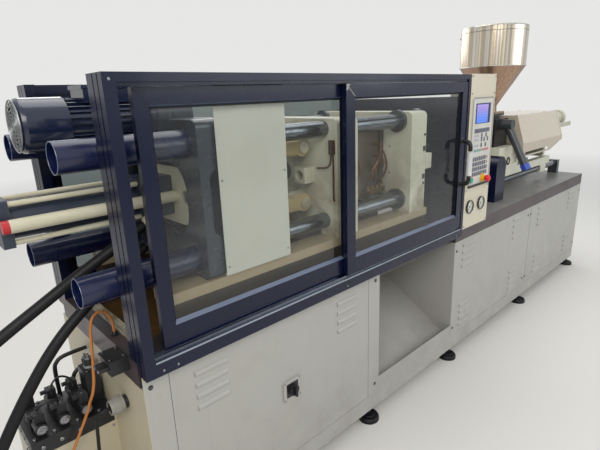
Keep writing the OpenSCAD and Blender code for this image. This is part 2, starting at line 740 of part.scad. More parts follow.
// Platen outline with its tie bar bores
module platen_shape(h) translate([axis_y - platen_w / 2, axis_z - h / 2]) soft_rect([platen_w, h], corner_r);
module bolt_holes(x0, x1) for (y = [-1, 1], z = [-1, 1])
    translate([0, axis_y + y * bolt_dy / 2, axis_z + z * bolt_dz / 2]) rod_x(bolt_r, x0, x1);
slot_w = 18;
slot_deep = 22;
module t_slots(x) for (z = [-1, 1]) translate([0, 0, axis_z + z * 192])
    block([x - 1, axis_y - bar_dy / 2 + bar_nut_r + 6, -slot_w / 2],
          [x + slot_deep, axis_y + bar_dy / 2 - bar_nut_r - 6, slot_w / 2]);
fixed_foot_w = 150;
module fixed_platen() color(cream) in_frame() difference() {
    union() {
        along_x(fixed_x, fixed_x + fixed_t) platen_shape(platen_h);
        for (y = [rail_y, axis_y + platen_w / 2 - rail_w])
            block([fixed_x, y, rail_top], [fixed_x + fixed_t, y + rail_w, platen_z + 30]);
        // Boss on the nozzle side
        on_axis() rod_x(platen_h * 0.264, fixed_x + fixed_t - 1, fixed_x + fixed_t + 24);
        // Block beside the tie bar
        block([fixed_x + fixed_t - 1, rail_y, axis_z - 55], [fixed_x + fixed_t + 60, rail_y + 50, axis_z + 25]);
    }
    at_bars() rod_x(bar_r, fixed_x - 1, fixed_x + fixed_t + 1);
    on_axis() {
        rod_x(ring_r, fixed_x - 1, fixed_x + ring_t);
        rod_x(nozzle_hole_r, fixed_x, fixed_x + 60);
        translate([fixed_x + 59.9, 0, 0]) rotate([0, 90, 0])
            cylinder(r1 = nozzle_hole_r, r2 = 105, h = fixed_t + 24 - 59.8);
    }
    bolt_holes(fixed_x - 1, fixed_x + bolt_deep);
    t_slots(fixed_x);
}
mould_edge = axis_y - mould_w / 2;
mould_low = axis_z - mould_v / 2;
clamp_plate_t = 30;
pocket = 12;
module mould_half(x0, x1, plate_at) {
    difference() {
        along_x(x0, x1) translate([mould_edge, mould_low]) square([mould_w, mould_v]);
        // Clamping slots
        for (y = [mould_edge - 1, mould_edge + mould_w - pocket])
            block([plate_at, y, mould_low - 1], [plate_at + 18, y + pocket + 1, mould_low + mould_v + 1]);
        // Cooling ports on the operator's side
        for (z = [-90, -30, 30, 90])
            translate([(x0 + x1) / 2 + 20, 0, axis_z + z]) rod_y(6, mould_edge - 1, mould_edge + 25);
    }
}
part_gap = 0.5;
split_x = fixed_x - mould_fixed_t;
module mould_fixed_half() color("#4a4744") in_frame() {
    mould_half(split_x, fixed_x, fixed_x - clamp_plate_t - 18);
    on_axis() rod_x(ring_r - bar_clear, fixed_x - 1, fixed_x + ring_t - run_gap);
}
ejector_r = 18;
ejector_hole = ejector_r + 2;
ejector_travel = 60;
ejector_set = 10;
ejector_flange_t = 18;
module mould_moving_half() color("#4a4744") in_frame() difference() {
    mould_half(moving_x + moving_t, split_x - part_gap, moving_x + moving_t + clamp_plate_t);
    on_axis() rod_x(ejector_hole, moving_x + moving_t - 1, moving_x + moving_t + ejector_travel + 30);
}
pin_x = tail_x + tail_t + pin_off;
platen_pin_x = moving_x - pin_off;
link_l = (platen_pin_x - pin_x) / 2;
knee_x = pin_x + link_l;
side_gap = 0.5;
lug_y = 56;
lug_t = rear_plate_y - side_gap - lug_y;
lug_r = eye_r + 4;
rear_out = rear_plate_y + plate_t;
front_plate_y = rear_out + side_gap;
pin_end = front_plate_y + plate_t + 6;
guide_hole_r = guide_r + 3;
shoe_t = platen_z - rail_top;
block_l = 60;
// Lug pair for one toggle pin
module lug_pair(x, z, face, inner, t) for (side = [-1, 1])
    translate([0, axis_y + (side > 0 ? inner : -inner - t), axis_z + z]) difference() {
        union() {
            translate([x, 0, 0]) rod_y(lug_r, 0, t);
            translate([min(x, face), 0, -lug_r]) cube([abs(face - x) + (face > x ? 1 : 0), t, 2 * lug_r]);
        }
        translate([x, 0, 0]) rod_y(pin_r, -1, t + 1);
    }
module toggle_pin(x, z, half) translate([x, axis_y, axis_z + z]) {
    rod_y(pin_r, -half, half);
    for (s = [-1, 1]) translate([0, s * (half + 2.5), 0]) rod_y(pin_r + 5, -2.5, 2.5);
}
module shoes(x, t) for (y = [rail_y, axis_y + platen_w / 2 - rail_w])
    block([x, y, rail_top + run_gap], [x + t, y + rail_w, platen_z + 20]);
module moving_platen() color(cream) in_frame() {
    difference() {
        union() {
            along_x(moving_x, moving_x + moving_t) platen_shape(platen_h);
            shoes(moving_x, moving_t);
            for (s = [-1, 1]) translate([0, axis_y + s * guide_dy, axis_z])
                block([moving_x - block_l, -35, -35], [moving_x + 1, 35, 35]);
            for (z = [-toggle_dz, toggle_dz])
                lug_pair(platen_pin_x, z, moving_x + 1, rear_plate_y, plate_t);
        }
        at_bars() rod_x(bar_r + bar_clear, moving_x - 1, moving_x + moving_t + 1);
        for (s = [-1, 1]) translate([0, axis_y + s * guide_dy, axis_z])
            rod_x(guide_hole_r, moving_x - block_l - 1, moving_x + moving_t + 1);
        on_axis() rod_x(ejector_r + bar_clear, moving_x - 1, moving_x + moving_t + 1);
        bolt_holes(moving_x + moving_t - bolt_deep, moving_x + moving_t + 1);
        // Relief round the ejector
        on_axis() rod_x(46, moving_x - 1, moving_x + ejector_set + ejector_flange_t + ejector_travel + 4);
    }
    for (z = [-toggle_dz, toggle_dz]) toggle_pin(platen_pin_x, z, pin_end);
}
module ejector_rod() color(steel) in_frame() on_axis() {
    rod_x(ejector_r, moving_x + ejector_set, moving_x + moving_t + 6);
    rod_x(40, moving_x + ejector_set, moving_x + ejector_set + ejector_flange_t);
}
recess_w = 486;
recess_h = 262;
recess_r = 100;
recess_deep = 62;
flange_w = 440;
flange_h = 216;
flange_t = 26;
lobe_r = 104;
motor_flange_r = 95;
module tail_platen() color(navy) in_frame() {
    difference() {
        union() {
            along_x(tail_x, tail_x + tail_t) {
                translate([axis_y - platen_w / 2, rail_top + run_gap])
                    soft_rect([platen_w, 1624 - rail_top - run_gap], corner_r);
                // Rounded lobe that carries the motor
                translate([axis_y, motor_z]) circle(lobe_r);
            }
            for (z = [-toggle_dz, toggle_dz])
                lug_pair(pin_x, z, tail_x + tail_t - 1, lug_y, lug_t);
        }
        at_bars() rod_x(bar_r + bar_clear, tail_x - 1, tail_x + tail_t + 1);
        // Rounded recess that takes the cylinder flange
        along_x(tail_x - 1, tail_x + recess_deep)
            translate([axis_y - recess_w / 2, axis_z - recess_h / 2]) soft_rect([recess_w, recess_h], recess_r);
        on_axis() rod_x(rod_r + 2, tail_x, tail_x + tail_t + 1);
        for (s = [-1, 1]) translate([0, axis_y + s * guide_dy, axis_z])
            rod_x(guide_r, tail_x + recess_deep - 1, tail_x + tail_t + 1);
        // Lightening windows in both sides
        for (y = [axis_y - platen_w / 2 - 1, axis_y + platen_w / 2 - 29])
            translate([tail_x + 35, y, axis_z - 115]) along_y(0, 30) soft_rect([tail_t - 70, 230], 30);
    }
    for (z = [-toggle_dz, toggle_dz]) toggle_pin(pin_x, z, rear_out + 6);
    // Tube covers of the tie bars
    at_bars() difference() {
        rod_x(tube_r, tube_x, tail_x + 1);
        rod_x(tube_r - tube_wall, tube_x - 1, tail_x);
        rod_x(bar_r + bar_clear, tail_x - 1, tail_x + 2);
    }
}
head_face = tail_x + recess_deep - flange_t;
head_l = 130;
piston_t = 30;
fitting_r = 15;
// Ball, stub and nut at the end of a hose
module elbow(from, to) {
    d = to - from;
    translate(from) {
        sphere(fitting_r + 2);
        rotate([0, acos(d[2] / norm(d)), atan2(d[1], d[0])]) {
            cylinder(r = fitting_r, h = norm(d) - 1);
            translate([0, 0, norm(d) - 34]) cylinder(r = fitting_r + 9, h = 26, $fn = 6);
            translate([0, 0, norm(d) - 10]) cylinder(r = fitting_r + 2, h = 9.7);
        }
    }
}
module clamp_cylinder() color(cream) in_frame() on_axis() difference() {
    union() {
        // Heads, barrel and flange
        translate([0, -cyl_head_w / 2, -cyl_head_w / 2]) {
            along_x(cyl_x, cyl_x + cyl_head_t) soft_rect([cyl_head_w, cyl_head_w], 8);
            along_x(head_face - head_l, head_face + 1) soft_rect([cyl_head_w, cyl_head_w], 8);
        }
        rod_x(cyl_r, cyl_x + cyl_head_t - 1, head_face - head_l + 1);
        translate([0, -flange_w / 2, -flange_h / 2])
            along_x(head_face, head_face + flange_t) soft_rect([flange_w, flange_h], 90);
        // Tension rods at the corners
        for (y = [-1, 1], z = [-1, 1]) translate([0, y * 60, z * 60])
            rod_x(tension_r, cyl_x + cyl_head_t - 1, head_face - head_l + 1);
        // Transducer tube
        translate([0, -cyl_head_w / 2 - transducer_r - 4, 0]) {
            rod_x(transducer_r, cyl_x, head_face + 1);
            for (x = [cyl_x + 60, head_face - head_l - 40])
                block([x, transducer_r - 6, -12], [x + 16, transducer_r + 24, 12]);
        }
        // Elbow fittings of the two hoses
        translate([0, -axis_y, -axis_z]) {
            translate([cylinder_port[0], 0, cylinder_port[2]])
                rod_y(fitting_r, cylinder_port[1], axis_y - cyl_head_w / 2 + 1);
            elbow(cylinder_port, cylinder_hose_route[0]);
            translate([return_port[0], return_port[1], return_port[2]])
                cylinder(r = fitting_r, h = axis_z - cyl_head_w / 2 - return_port[2] + 1);
            elbow(return_port, return_hose_route[0]);
        }
    }
    rod_x(cyl_bore_r, cyl_x + 15, head_face - 30);
    rod_x(rod_r + bar_clear, head_face - 31, head_face + flange_t + 1);
    for (s = [-1, 1]) translate([0, s * guide_dy, 0]) rod_x(guide_r + 6, head_face - 1, head_face + flange_t + 1);
}
rods_end = moving_x - stroke + moving_t - 9;
module crosshead_rods() color("#b9bcc0") in_frame()
    for (s = [-1, 1]) translate([0, axis_y + s * guide_dy, axis_z])
        rod_x(guide_r, tail_x + recess_deep - 20, rods_end);

/* Toggle links. The ear lies on the axis side of the rear link */
ear_z = toggle_dz - ear_off;
cross_rise = ear_z - cross_dz;
cross_run = sqrt(cross_l * cross_l - cross_rise * cross_rise);
cross_x = pin_x + ear_x + cross_run;
cross_t = 56;
cross_half = guide_dy + 34;
cross_plate_y = 60;
cross_plate_t = rear_plate_y - side_gap - cross_plate_y;
module crosshead() color("#55585c") in_frame() on_axis() {
    difference() {
        union() {
            block([cross_x - cross_t / 2, -cross_half, -34], [cross_x + cross_t / 2, cross_half, 34]);
            block([cross_x - cross_t / 2, -cross_plate_y + 2, -cross_dz - ear_r],
                  [cross_x + cross_t / 2, cross_plate_y - 2, cross_dz + ear_r]);
            for (s = [-1, 1]) translate([0, s * guide_dy, 0])
                rod_x(34, cross_x - cross_t / 2 - 8, cross_x + cross_t / 2);
            // Piston rod with its piston
            rod_x(rod_r, head_face - 80, cross_x - cross_t / 2 + 1);
            rod_x(cyl_bore_r - bar_clear, head_face - 80 - piston_t, head_face - 79);
            for (z = [-1, 1]) translate([cross_x, 0, z * cross_dz])
                rod_y(cross_pin_r, -rear_plate_y + side_gap * 2, rear_plate_y - side_gap * 2);
        }
        for (s = [-1, 1]) translate([0, s * guide_dy, 0])
            rod_x(guide_r + bar_clear, cross_x - cross_t, cross_x + cross_t);
    }
}
// A link plate between two eyes in x and z
module link_outline(l, r, waist) {
    circle(r);
    translate([l, 0]) circle(r);
    translate([0, -waist]) square([l, 2 * waist]);
}
module rear_link_outline() {
    link_outline(link_l, eye_r, eye_r * 0.72);
    translate([ear_x, -ear_off]) circle(ear_r);
    translate([ear_x, -ear_off / 2]) square([2 * ear_r, ear_off], center = true);
}
// side is 1 for the upper link
module rear_link(side) translate([pin_x, axis_y, axis_z + side * toggle_dz]) mirror([0, 0, side > 0 ? 0 : 1]) {
    for (s = [-1, 1]) {
        y0 = s > 0 ? rear_plate_y : -rear_out;
        difference() {
            along_y(y0, y0 + plate_t) rear_link_outline();
            rod_y(pin_r + bar_clear, -rear_out - 1, rear_out + 1);
        }
        // Stub of the ear pin on the inner side
        translate([ear_x, 0, -ear_off]) rod_y(cross_pin_r, s > 0 ? rear_plate_y - 0.01 : -rear_out,
                                              s > 0 ? rear_out : -rear_plate_y + 0.01);
    }
    // Knee pin between the two plates
    translate([link_l, 0, 0]) rod_y(pin_r, -rear_plate_y - 1, rear_plate_y + 1);
}
module front_link(side) translate([platen_pin_x, axis_y, axis_z + side * toggle_dz])
    for (s = [-1, 1]) {
        y0 = s > 0 ? front_plate_y : -front_plate_y - plate_t;
        difference() {
            along_y(y0, y0 + plate_t) translate([-link_l, 0]) link_outline(link_l, eye_r, eye_r * 0.72);
            rod_y(pin_r + bar_clear, -pin_end - 1, pin_end + 1);
        }
        // Head of the knee pin
        translate([-link_l, s * (front_plate_y + plate_t + 2.5), 0]) rod_y(pin_r + 5, -2.6, 2.5);
    }
module cross_link(side) translate([cross_x, axis_y, axis_z + side * cross_dz])
    mirror([0, 0, side > 0 ? 0 : 1]) rotate([0, -atan2(cross_rise, -cross_run), 0])
        for (s = [-1, 1]) {
            y0 = s > 0 ? cross_plate_y : -cross_plate_y - cross_plate_t;
            difference() {
                along_y(y0, y0 + cross_plate_t) link_outline(cross_l, ear_r, ear_r * 0.7);
                rod_y(cross_pin_r + bar_clear, -rear_plate_y, rear_plate_y);
            }
        }
module upper_rear_link() color("#3a3c3f") in_frame() rear_link(1);
module lower_rear_link() color("#3a3c3f") in_frame() rear_link(-1);
module upper_front_link() color("#3a3c3f") in_frame() front_link(1);
module lower_front_link() color("#3a3c3f") in_frame() front_link(-1);
module upper_cross_link() color("#3a3c3f") in_frame() cross_link(1);
module lower_cross_link() color("#3a3c3f") in_frame() cross_link(-1);

/* Die height motor */
stator_r = 70;
fin_h = 10;
fin_t = 3.2;
fin_n = 26;
motor_flange_t = 16;
cowl_wall = 2.5;
shaft_r = 12;
stator_x = motor_x + cowl_l - 6;
terminal_x = 70;
terminal_l = 150;
terminal_w = 120;
fan_r = 66;
module motor_body() color(navy) in_frame() translate([0, axis_y, motor_z]) {
    difference() {
        // Fan cowl with a rounded rear edge
        rotate([0, 90, 0]) rotate_extrude() polygon(concat(
            [[0, motor_x], [cowl_r - 18, motor_x]],
            [for (a = [10 : 20 : 90]) [cowl_r - 18 + 18 * sin(a), motor_x + 18 - 18 * cos(a)]],
            [[cowl_r, motor_x + cowl_l], [0, motor_x + cowl_l]]));
        rotate([0, 90, 0]) rotate_extrude() polygon([
            [0, motor_x + 4], [cowl_r - 20, motor_x + 4], [cowl_r - cowl_wall, motor_x + 22],
            [cowl_r - cowl_wall, motor_x + cowl_l + 1], [0, motor_x + cowl_l + 1]]);
        // Grille
        for (ring = [[24, 8], [40, 12], [57, 16]], i = [0 : ring[1] - 1])
            rotate([i * 360 / ring[1], 0, 0]) translate([motor_x - 1, -ring[0] * 0.12, ring[0] - 5])
                cube([6, ring[0] * 0.24 + 4, 10]);
    }
    // Finned stator and shields
    along_x(stator_x, tail_x - motor_flange_t + 1) union() {
        circle(stator_r);
        for (i = [0 : fin_n - 1]) rotate(i * 360 / fin_n) translate([stator_r - 2, -fin_t / 2])
            square([fin_h + 2, fin_t]);
    }
    rod_x(cowl_r - 1, motor_x + cowl_l - 12, motor_x + cowl_l - 4);
    rod_x(motor_flange_r, tail_x - motor_flange_t, tail_x);
    // Terminal box
    translate([0, -terminal_w / 2, 0]) {
        block([terminal_x, 0, stator_r - 8], [terminal_x + terminal_l, terminal_w, terminal_dz - 14]);
        along_x(terminal_x - 5, terminal_x + terminal_l + 5) translate([-5, terminal_dz - 14])
            soft_rect([terminal_w + 10, 14], 4);
    }
    rod_x(shaft_r, motor_x + 30, stator_x + 1);
}
blade_n = 7;
fan_x = motor_x + 34;
module motor_fan() color(black) in_frame() translate([0, axis_y, motor_z]) difference() {
    union() {
        rod_x(26, fan_x, fan_x + 40);
        rod_x(fan_r, fan_x + 36, fan_x + 40);
        for (i = [0 : blade_n - 1]) rotate([i * 360 / blade_n, 0, 0])
            translate([fan_x + 4, -2, 20]) cube([34, 4, fan_r - 20]);
    }
    rod_x(shaft_r + bar_clear, fan_x - 1, fan_x + 41);
}

/* Hydraulics at the clamp end */
valve_z = valve_box_h;
module valve(x, y, turn) translate([x, y, valve_z + 14]) rotate([0, 0, turn]) {
    block([-24, -35, 0], [24, 35, 50]);
    for (s = [-1, 1]) {
        translate([0, s > 0 ? 35 : -95, 26]) rod_y(21, 0, 60);
        translate([0, s * 62, 44]) block([-15, -17, 0], [15, 17, 34]);
        translate([0, s * 62, 70]) rod_x(8, -34, -14);
    }
}
gland_y = 207;
gland_z = 683;
module hydraulic_valves() color(dark) in_frame() {
    // Manifold plate and block on the tank box
    block([-valve_box_l, valve_box_y, valve_z], [-6, valve_box_y + valve_box_w - 2, valve_z + 14]);
    for (x = [-240, -165, -90]) valve(x, valve_box_y + 110, 0);
    // Tall relief valve cluster beside the beam
    block([-62, valve_box_y + 70, valve_z + 13], [-12, valve_box_y + 150, valve_z + 150]);
    translate([-37, valve_box_y + 90, valve_z + 149]) cylinder(r = 17, h = 46);
    translate([-37, valve_box_y + 130, valve_z + 149]) cylinder(r = 13, h = 30);
    // Door safety valve with two plungers
    block([-62, 120, base_h - 46], [0, 205, base_h]);
    block([-66, 116, base_h - 1], [-1, 209, base_h + 6]);
    for (y = [140, 172]) translate([0, y, base_h - 21]) rod_x(9, -92, -61);
    // Cable gland in the end wall
    translate([0, gland_y, gland_z]) {
        rod_x(24, -16, 0);
        translate([-42, 0, 0]) rotate([0, 90, 0]) cylinder(r = 29, h = 26, $fn = 6);
        rod_x(22, -58, -41);
    }
}
// Routes of the free hoses and cables
hose_r = 19;
cylinder_port = [250, 318, 1288];
cylinder_hose_route = [
    [196, 320, 1259.4], [142, 322, 1230.8], [60, 328, 1187], [-38, 338, 1135], [-168, 340, 1066],
    [-298, 340, 997], [-360, 340, 959], [-412, 342, 908], [-447, 347, 845], [-465, 356, 775],
    [-470, 370, 705], [-470, 386, 640], [-464, 402, 596], [-447, 418, 555], [-420, 432, 520],
    [-385, 443, 493], [-344, 449, 476], [-300, 452, 470], [-283.3, 452, 470]];
return_port = [262, 380, 1188];
return_hose_route = [
    [212, 374, 1160.5], [162, 368, 1133], [90, 358, 1092], [20, 348, 1050], [-50, 340, 1004],
    [-120, 338, 948], [-185, 336, 882], [-245, 336, 806], [-301, 338, 725], [-352, 342, 642],
    [-395, 348, 566], [-430, 356, 492], [-450, 366, 420], [-448, 376, 374], [-434, 384, 336],
    [-410, 390, 303], [-378, 394, 280], [-340, 396, 265], [-300, 397, 260], [-283.3, 397, 260]];
cable_r = 5;
sensor_cable_route = [
    [27, 300, 893.3], [27, 300, 915], [26, 300, 940], [20, 300, 966], [6, 299, 988],
    [-16, 297, 998], [-38, 292, 988], [-52, 284, 962], [-60, 274, 925], [-68, 262, 870],
    [-76, 253, 820], [-82, 251, 775], [-89, 262, 730], [-97, 282, 690], [-107, 300, 645],
    [-122, 314, 600], [-142, 323, 555], [-164, 328, 510], [-182, 330, 465], [-192, 330, 420],
    [-194, 327, 380], [-188, 321, 340], [-174, 314, 300], [-161, 314, 272], [-152, 322, 254],
    [-150, 336, 250], [-150, 345, 250], [-150, 354.7, 250]];
gland_cable_route = [
    [-58.3, 207, 683], [-72, 207, 683], [-90, 209, 675], [-101, 214, 656], [-104, 222, 630],
    [-103, 236, 596], [-101, 252, 556], [-100, 268, 508], [-99, 284, 450], [-99, 296, 390],
    [-100, 303, 340], [-100, 307, 290], [-100, 309, 250], [-100, 315, 222], [-100, 330, 206],
    [-100, 345, 204], [-100, 354.7, 204]];
function unit(v) = v / norm(v);
function tangent(p, i) = unit(p[min(i + 1, len(p) - 1)] - p[max(i - 1, 0)]);
function side_on(t, v) = unit(v - (v * t) * t);
// Side vectors without twist along a route
function sides(p, i = 0, v = [0, 0, 1], out = []) = i == len(p) ? out
    : let (s = side_on(tangent(p, i), abs(tangent(p, i) * v) > 0.999 ? [0, 1, 0] : v))
        sides(p, i + 1, s, concat(out, [s]));
module tube(p, r, n) {
    s = sides(p);
    rings = len(p);
    points = [for (i = [0 : rings - 1], k = [0 : n - 1])
        p[i] + r * (cos(k * 360 / n) * s[i] + sin(k * 360 / n) * cross(tangent(p, i), s[i]))];
    skin = [for (i = [0 : rings - 2], k = [0 : n - 1])
        [i * n + k, i * n + (k + 1) % n, (i + 1) * n + (k + 1) % n, (i + 1) * n + k]];
    caps = [[for (k = [n - 1 : -1 : 0]) k], [for (k = [0 : n - 1]) (rings - 1) * n + k]];
    polyhedron(points, [for (f = concat(skin, caps)) [for (k = [len(f) - 1 : -1 : 0]) f[k]]], convexity = 6);
}
module cylinder_hose() color(black) in_frame() tube(cylinder_hose_route, hose_r, 10);
module return_hose() color(black) in_frame() tube(return_hose_route, hose_r, 10);
module sensor_cable() color("#a8662a") in_frame() tube(sensor_cable_route, cable_r, 8);
module gland_cable() color(black) in_frame() tube(gland_cable_route, cable_r + 1, 8);

/* Injection unit */
beam_y = carriage_w / 2;
beam_thick = 56;
slide_dy = beam_y - beam_thick / 2;
slide_x = 2450;
slide_end = 4280;
bracket_l = 50;
module carriage_rods() color("#b9bcc0") in_frame() {
    for (s = [-1, 1]) translate([0, axis_y + s * slide_dy, slide_z]) {
        rod_x(slide_r, slide_x, slide_end);
        for (x = [slide_x, slide_end - bracket_l])
            block([x, -40, base_h - slide_z], [x + bracket_l, 40, 30]);
    }
}
saddle_end = 3320;
saddle_top = 1252;
carriage_end = 4040;
shoe_l = 120;
module carriage() color(cream) in_frame() {
    difference() {
        union() {
            for (s = [-1, 1]) translate([0, axis_y + s * slide_dy, 0]) {
                block([carriage_x, -beam_thick / 2, slide_z + 34], [carriage_end, beam_thick / 2, carriage_z]);
                for (x = [carriage_x + 10, carriage_end - shoe_l - 80])
                    block([x, -beam_thick / 2, slide_z - 36], [x + shoe_l, beam_thick / 2, slide_z + 36]);
            }
            // Saddle under the feed housing
            block([carriage_x, axis_y - beam_y, carriage_z - 1], [saddle_end, axis_y + beam_y, saddle_top]);
            // Round boss on the operator's side
            translate([hopper_x + 6, axis_y - beam_y, 1141]) rod_y(30, -8, 1);
        }
        for (s = [-1, 1]) translate([0, axis_y + s * slide_dy, slide_z])
            rod_x(slide_r + bar_clear, carriage_x, carriage_end);
        translate([hopper_x + 6, axis_y - beam_y, 1141]) rod_y(16, -9, 20);
        // Hollow underside of the saddle
        block([carriage_x + 16, axis_y - beam_y + 40, carriage_z - 2],
              [saddle_end - 16, axis_y + beam_y - 40, saddle_top - 30]);
        block([saddle_end - 130, axis_y - beam_y - 1, carriage_z + 30],
              [saddle_end - 24, axis_y - beam_y + 12, saddle_top - 26]);
    }
}
house_w = 220;
feed_r = 40;
module feed_housing() color(dark) in_frame() difference() {
    union() {
        block([hopper_x - house_w / 2, axis_y - house_w / 2, saddle_top],
              [hopper_x + house_w / 2, axis_y + house_w / 2, 1462]);
        // Hopper base with a square flange
        translate([hopper_x, axis_y, 1461]) cylinder(r = 82, h = flange_z - 1460 - 14);
        block([hopper_x - 85, axis_y - 85, flange_z - 16], [hopper_x + 85, axis_y + 85, flange_z]);
        // Cooling jacket flange on the nozzle side
        on_axis() rod_x(axis_z - saddle_top - 1, hopper_x - house_w / 2 - 24, hopper_x - house_w / 2 + 1);
    }
    on_axis() rod_x(barrel_r, hopper_x - house_w, hopper_x + house_w);
    translate([hopper_x, axis_y, axis_z + barrel_r / 2]) cylinder(r = feed_r, h = 200);
}
barrel_end = 3246;
bore_clear = 0.3;
nozzle_x = fixed_x + ring_t;
nozzle_r = 24;
module barrel() color("#6b6660") in_frame() difference() {
    on_axis() rotate([0, 90, 0]) rotate_extrude() polygon([
        [0, nozzle_x], [6, nozzle_x], [12, nozzle_x + 8], [nozzle_r, nozzle_x + 26],
        [nozzle_r, barrel_x - 44], [34, barrel_x - 30], [72, barrel_x - 20], [72, barrel_x + 40],
        [barrel_r, barrel_x + 40], [barrel_r, barrel_end], [0, barrel_end]]);
    on_axis() {
        rod_x(3, nozzle_x - 1, barrel_x + 1);
        rod_x(screw_r + bore_clear, barrel_x, barrel_end + 1);
    }
    translate([hopper_x, axis_y, axis_z]) cylinder(r = feed_r - 6, h = barrel_r + 1);
}
band_n = 6;
band_l = 120;
band_t = 7;
band_pitch = 185;
module heater_bands() color("#8b8d8c") in_frame() on_axis() for (i = [0 : band_n - 1]) {
    x0 = barrel_x + 80 + i * band_pitch;
    difference() {
        union() {
            rod_x(barrel_r + band_t, x0, x0 + band_l);
            // Terminal box and clamping screws
            block([x0 + band_l / 2 - 20, -16, barrel_r + band_t - 3], [x0 + band_l / 2 + 20, 16, barrel_r + 36]);
            block([x0 + 6, barrel_r - 10, -10], [x0 + band_l - 6, barrel_r + 20, 10]);
        }
        rod_x(barrel_r, x0 - 1, x0 + band_l + 1);
        block([x0 - 1, barrel_r - 11, -1], [x0 + band_l + 1, barrel_r + 21, 1]);
    }
}
flight_n = 34;
module screw() color(steel) in_frame() on_axis() {
    rotate([0, 90, 0]) rotate_extrude() polygon([
        [0, barrel_x + 6], [12, barrel_x + 22], [screw_r - 6, barrel_x + 40],
        [screw_r - 6, barrel_end - 60], [screw_r - 2, barrel_end - 50],
        [screw_r - 2, saddle_end - run_gap], [0, saddle_end - run_gap]]);
    // Flight lands
    for (i = [0 : flight_n - 1])
        rod_x(screw_r, barrel_x + 50 + i * 2 * screw_r * 0.92, barrel_x + 54 + i * 2 * screw_r * 0.92);
}
hopper_wall = 3;
lid_z = hopper_top - lid_h;
hinge_r = 8;
hinge_pin_r = 4;
hinge_y = hopper_r + 10;
hinge_half = 45;
module hopper() color("#c4c2bb") in_frame() translate([hopper_x, axis_y, 0]) {
    difference() {
        union() {
            rotate_extrude($fn = 96) polygon([
                [throat_r - hopper_wall, flange_z + 14], [throat_r - hopper_wall, throat_z],
                [hopper_r - hopper_wall, cone_z + 2], [hopper_r - hopper_wall, lid_z],
                [hopper_r, lid_z], [hopper_r, cone_z + 6], [hopper_r + 3, cone_z + 6],
                [hopper_r + 3, cone_z], [hopper_r - 2, cone_z], [throat_r, throat_z],
                [throat_r, flange_z + 14]]);
            // Square base flange
            difference() {
                block([-85, -85, flange_z], [85, 85, flange_z + 15]);
                translate([0, 0, flange_z - 1]) cylinder(r = throat_r - hopper_wall, h = 20);
            }
        }
        for (x = [-65, 65], y = [-65, 65]) translate([x, y, flange_z - 1]) cylinder(r = 5.5, h = 20);
    }
    // Hinge knuckles and pin
    translate([0, hinge_y, lid_z]) {
        for (s = [-1, 1]) translate([s * (hinge_half - 10), 0, 0]) {
            rod_x(hinge_r, -10, 10);
            block([-10, -12, -34], [10, -hinge_r + 0.5, 0]);
            block([-10, -12, -hinge_r], [10, 0, -3]);
        }
        rod_x(hinge_pin_r, -hinge_half, hinge_half);
    }
}
lid_dome = 6;
module hopper_lid() color("#c4c2bb") in_frame() translate([hopper_x, axis_y, 0]) {
    rotate_extrude($fn = 96) polygon([
        [0, hopper_top], [hopper_r - 14, hopper_top - 1], [hopper_r - 5, hopper_top - 4],
        [hopper_r, hopper_top - lid_dome - 6], [hopper_r, lid_z + run_gap],
        [hopper_r - hopper_wall, lid_z + run_gap], [hopper_r - hopper_wall, hopper_top - lid_dome - 8],
        [hopper_r - 16, hopper_top - 5], [0, hopper_top - 3]]);
    translate([0, hinge_y, lid_z]) difference() {
        union() {
            rod_x(hinge_r, -24, 24);
            block([-24, -hinge_y + hopper_r - 1, 2], [24, 0, hinge_r]);
        }
        rod_x(hinge_pin_r + bar_clear, -25, 25);
    }
}
drain_z = 1416;
drain_r = 40;
pipe_r = 29;
pipe_tilt = 27.5;
pipe_l = 372;
module drain_pipe() color("#3c3e42") in_frame()
    translate([hopper_x, axis_y - house_w / 2, drain_z]) {
        rod_y(drain_r, -86, 0);
        translate([0, -44, 0]) rotate([-pipe_tilt, 0, 0]) rotate([0, 0, 40]) translate([0, 0, -pipe_l]) {
            cylinder(r = pipe_r, h = pipe_l);
            cylinder(r = pipe_r + 5, h = 46);
        }
    }
bevel_z = 1262;
cover_low = 1156;
cover_half = carriage_w / 2 + 63;
function cover_side(w, t) = [
    [-w + 69 + t * 0.75, cover_top - t], [-w + 4 + t, bevel_z], [-w + t, cover_low]];
module cover_section(t) polygon(concat(cover_side(cover_half, t),
    [for (i = [2 : -1 : 0]) [-cover_side(cover_half, t)[i][0], cover_side(cover_half, t)[i][1]]]));
module injection_cover() color(cream) in_frame() translate([0, axis_y, 0]) difference() {
    along_x(cover_x, cover_x + cover_l) cover_section(0);
    along_x(cover_x + sheet_t, cover_x + cover_l + 1) cover_section(sheet_t);
    // The underside is open
    block([cover_x + sheet_t, -cover_half + sheet_t, cover_low - 1],
          [cover_x + cover_l + 1, cover_half - sheet_t, cover_low + 1]);
    // Opening round the saddle in the left end
    block([cover_x - 1, -carriage_w / 2 - 6, cover_low - 1],
          [cover_x + 84, carriage_w / 2 + 6, saddle_top + 6]);
    translate([0, 0, axis_z]) rod_x(barrel_r + 12, cover_x - 1, cover_x + sheet_t + 1);
    // Long hand hole in the front lip
    translate([cover_x + 44, 0, cover_low + 14]) along_y(-cover_half - 1, -cover_half + 60)
        soft_rect([cover_l * 0.566, 22], 10.9);
    // Cut-away lower corner
    translate([cover_x + cover_l + 1, 0, cover_low - 1]) along_y(-cover_half - 1, cover_half + 1)
        polygon([[0, 0], [-290, 0], [0, 70]]);
}
drive_plate_t = 40;
drive_plate_half = 138;
inj_dy = 86;
inj_dz = 52;
front_drive_x = saddle_end + 20;
back_drive_x = 3960;
thrust_x = front_drive_x + 90;
thrust_t = 50;
hub_r = 34;
motor_r2 = 40;
inj_stroke = 120;
module at_cylinders() for (s = [-1, 1]) translate([0, s * inj_dy, axis_z - s * inj_dz]) children();
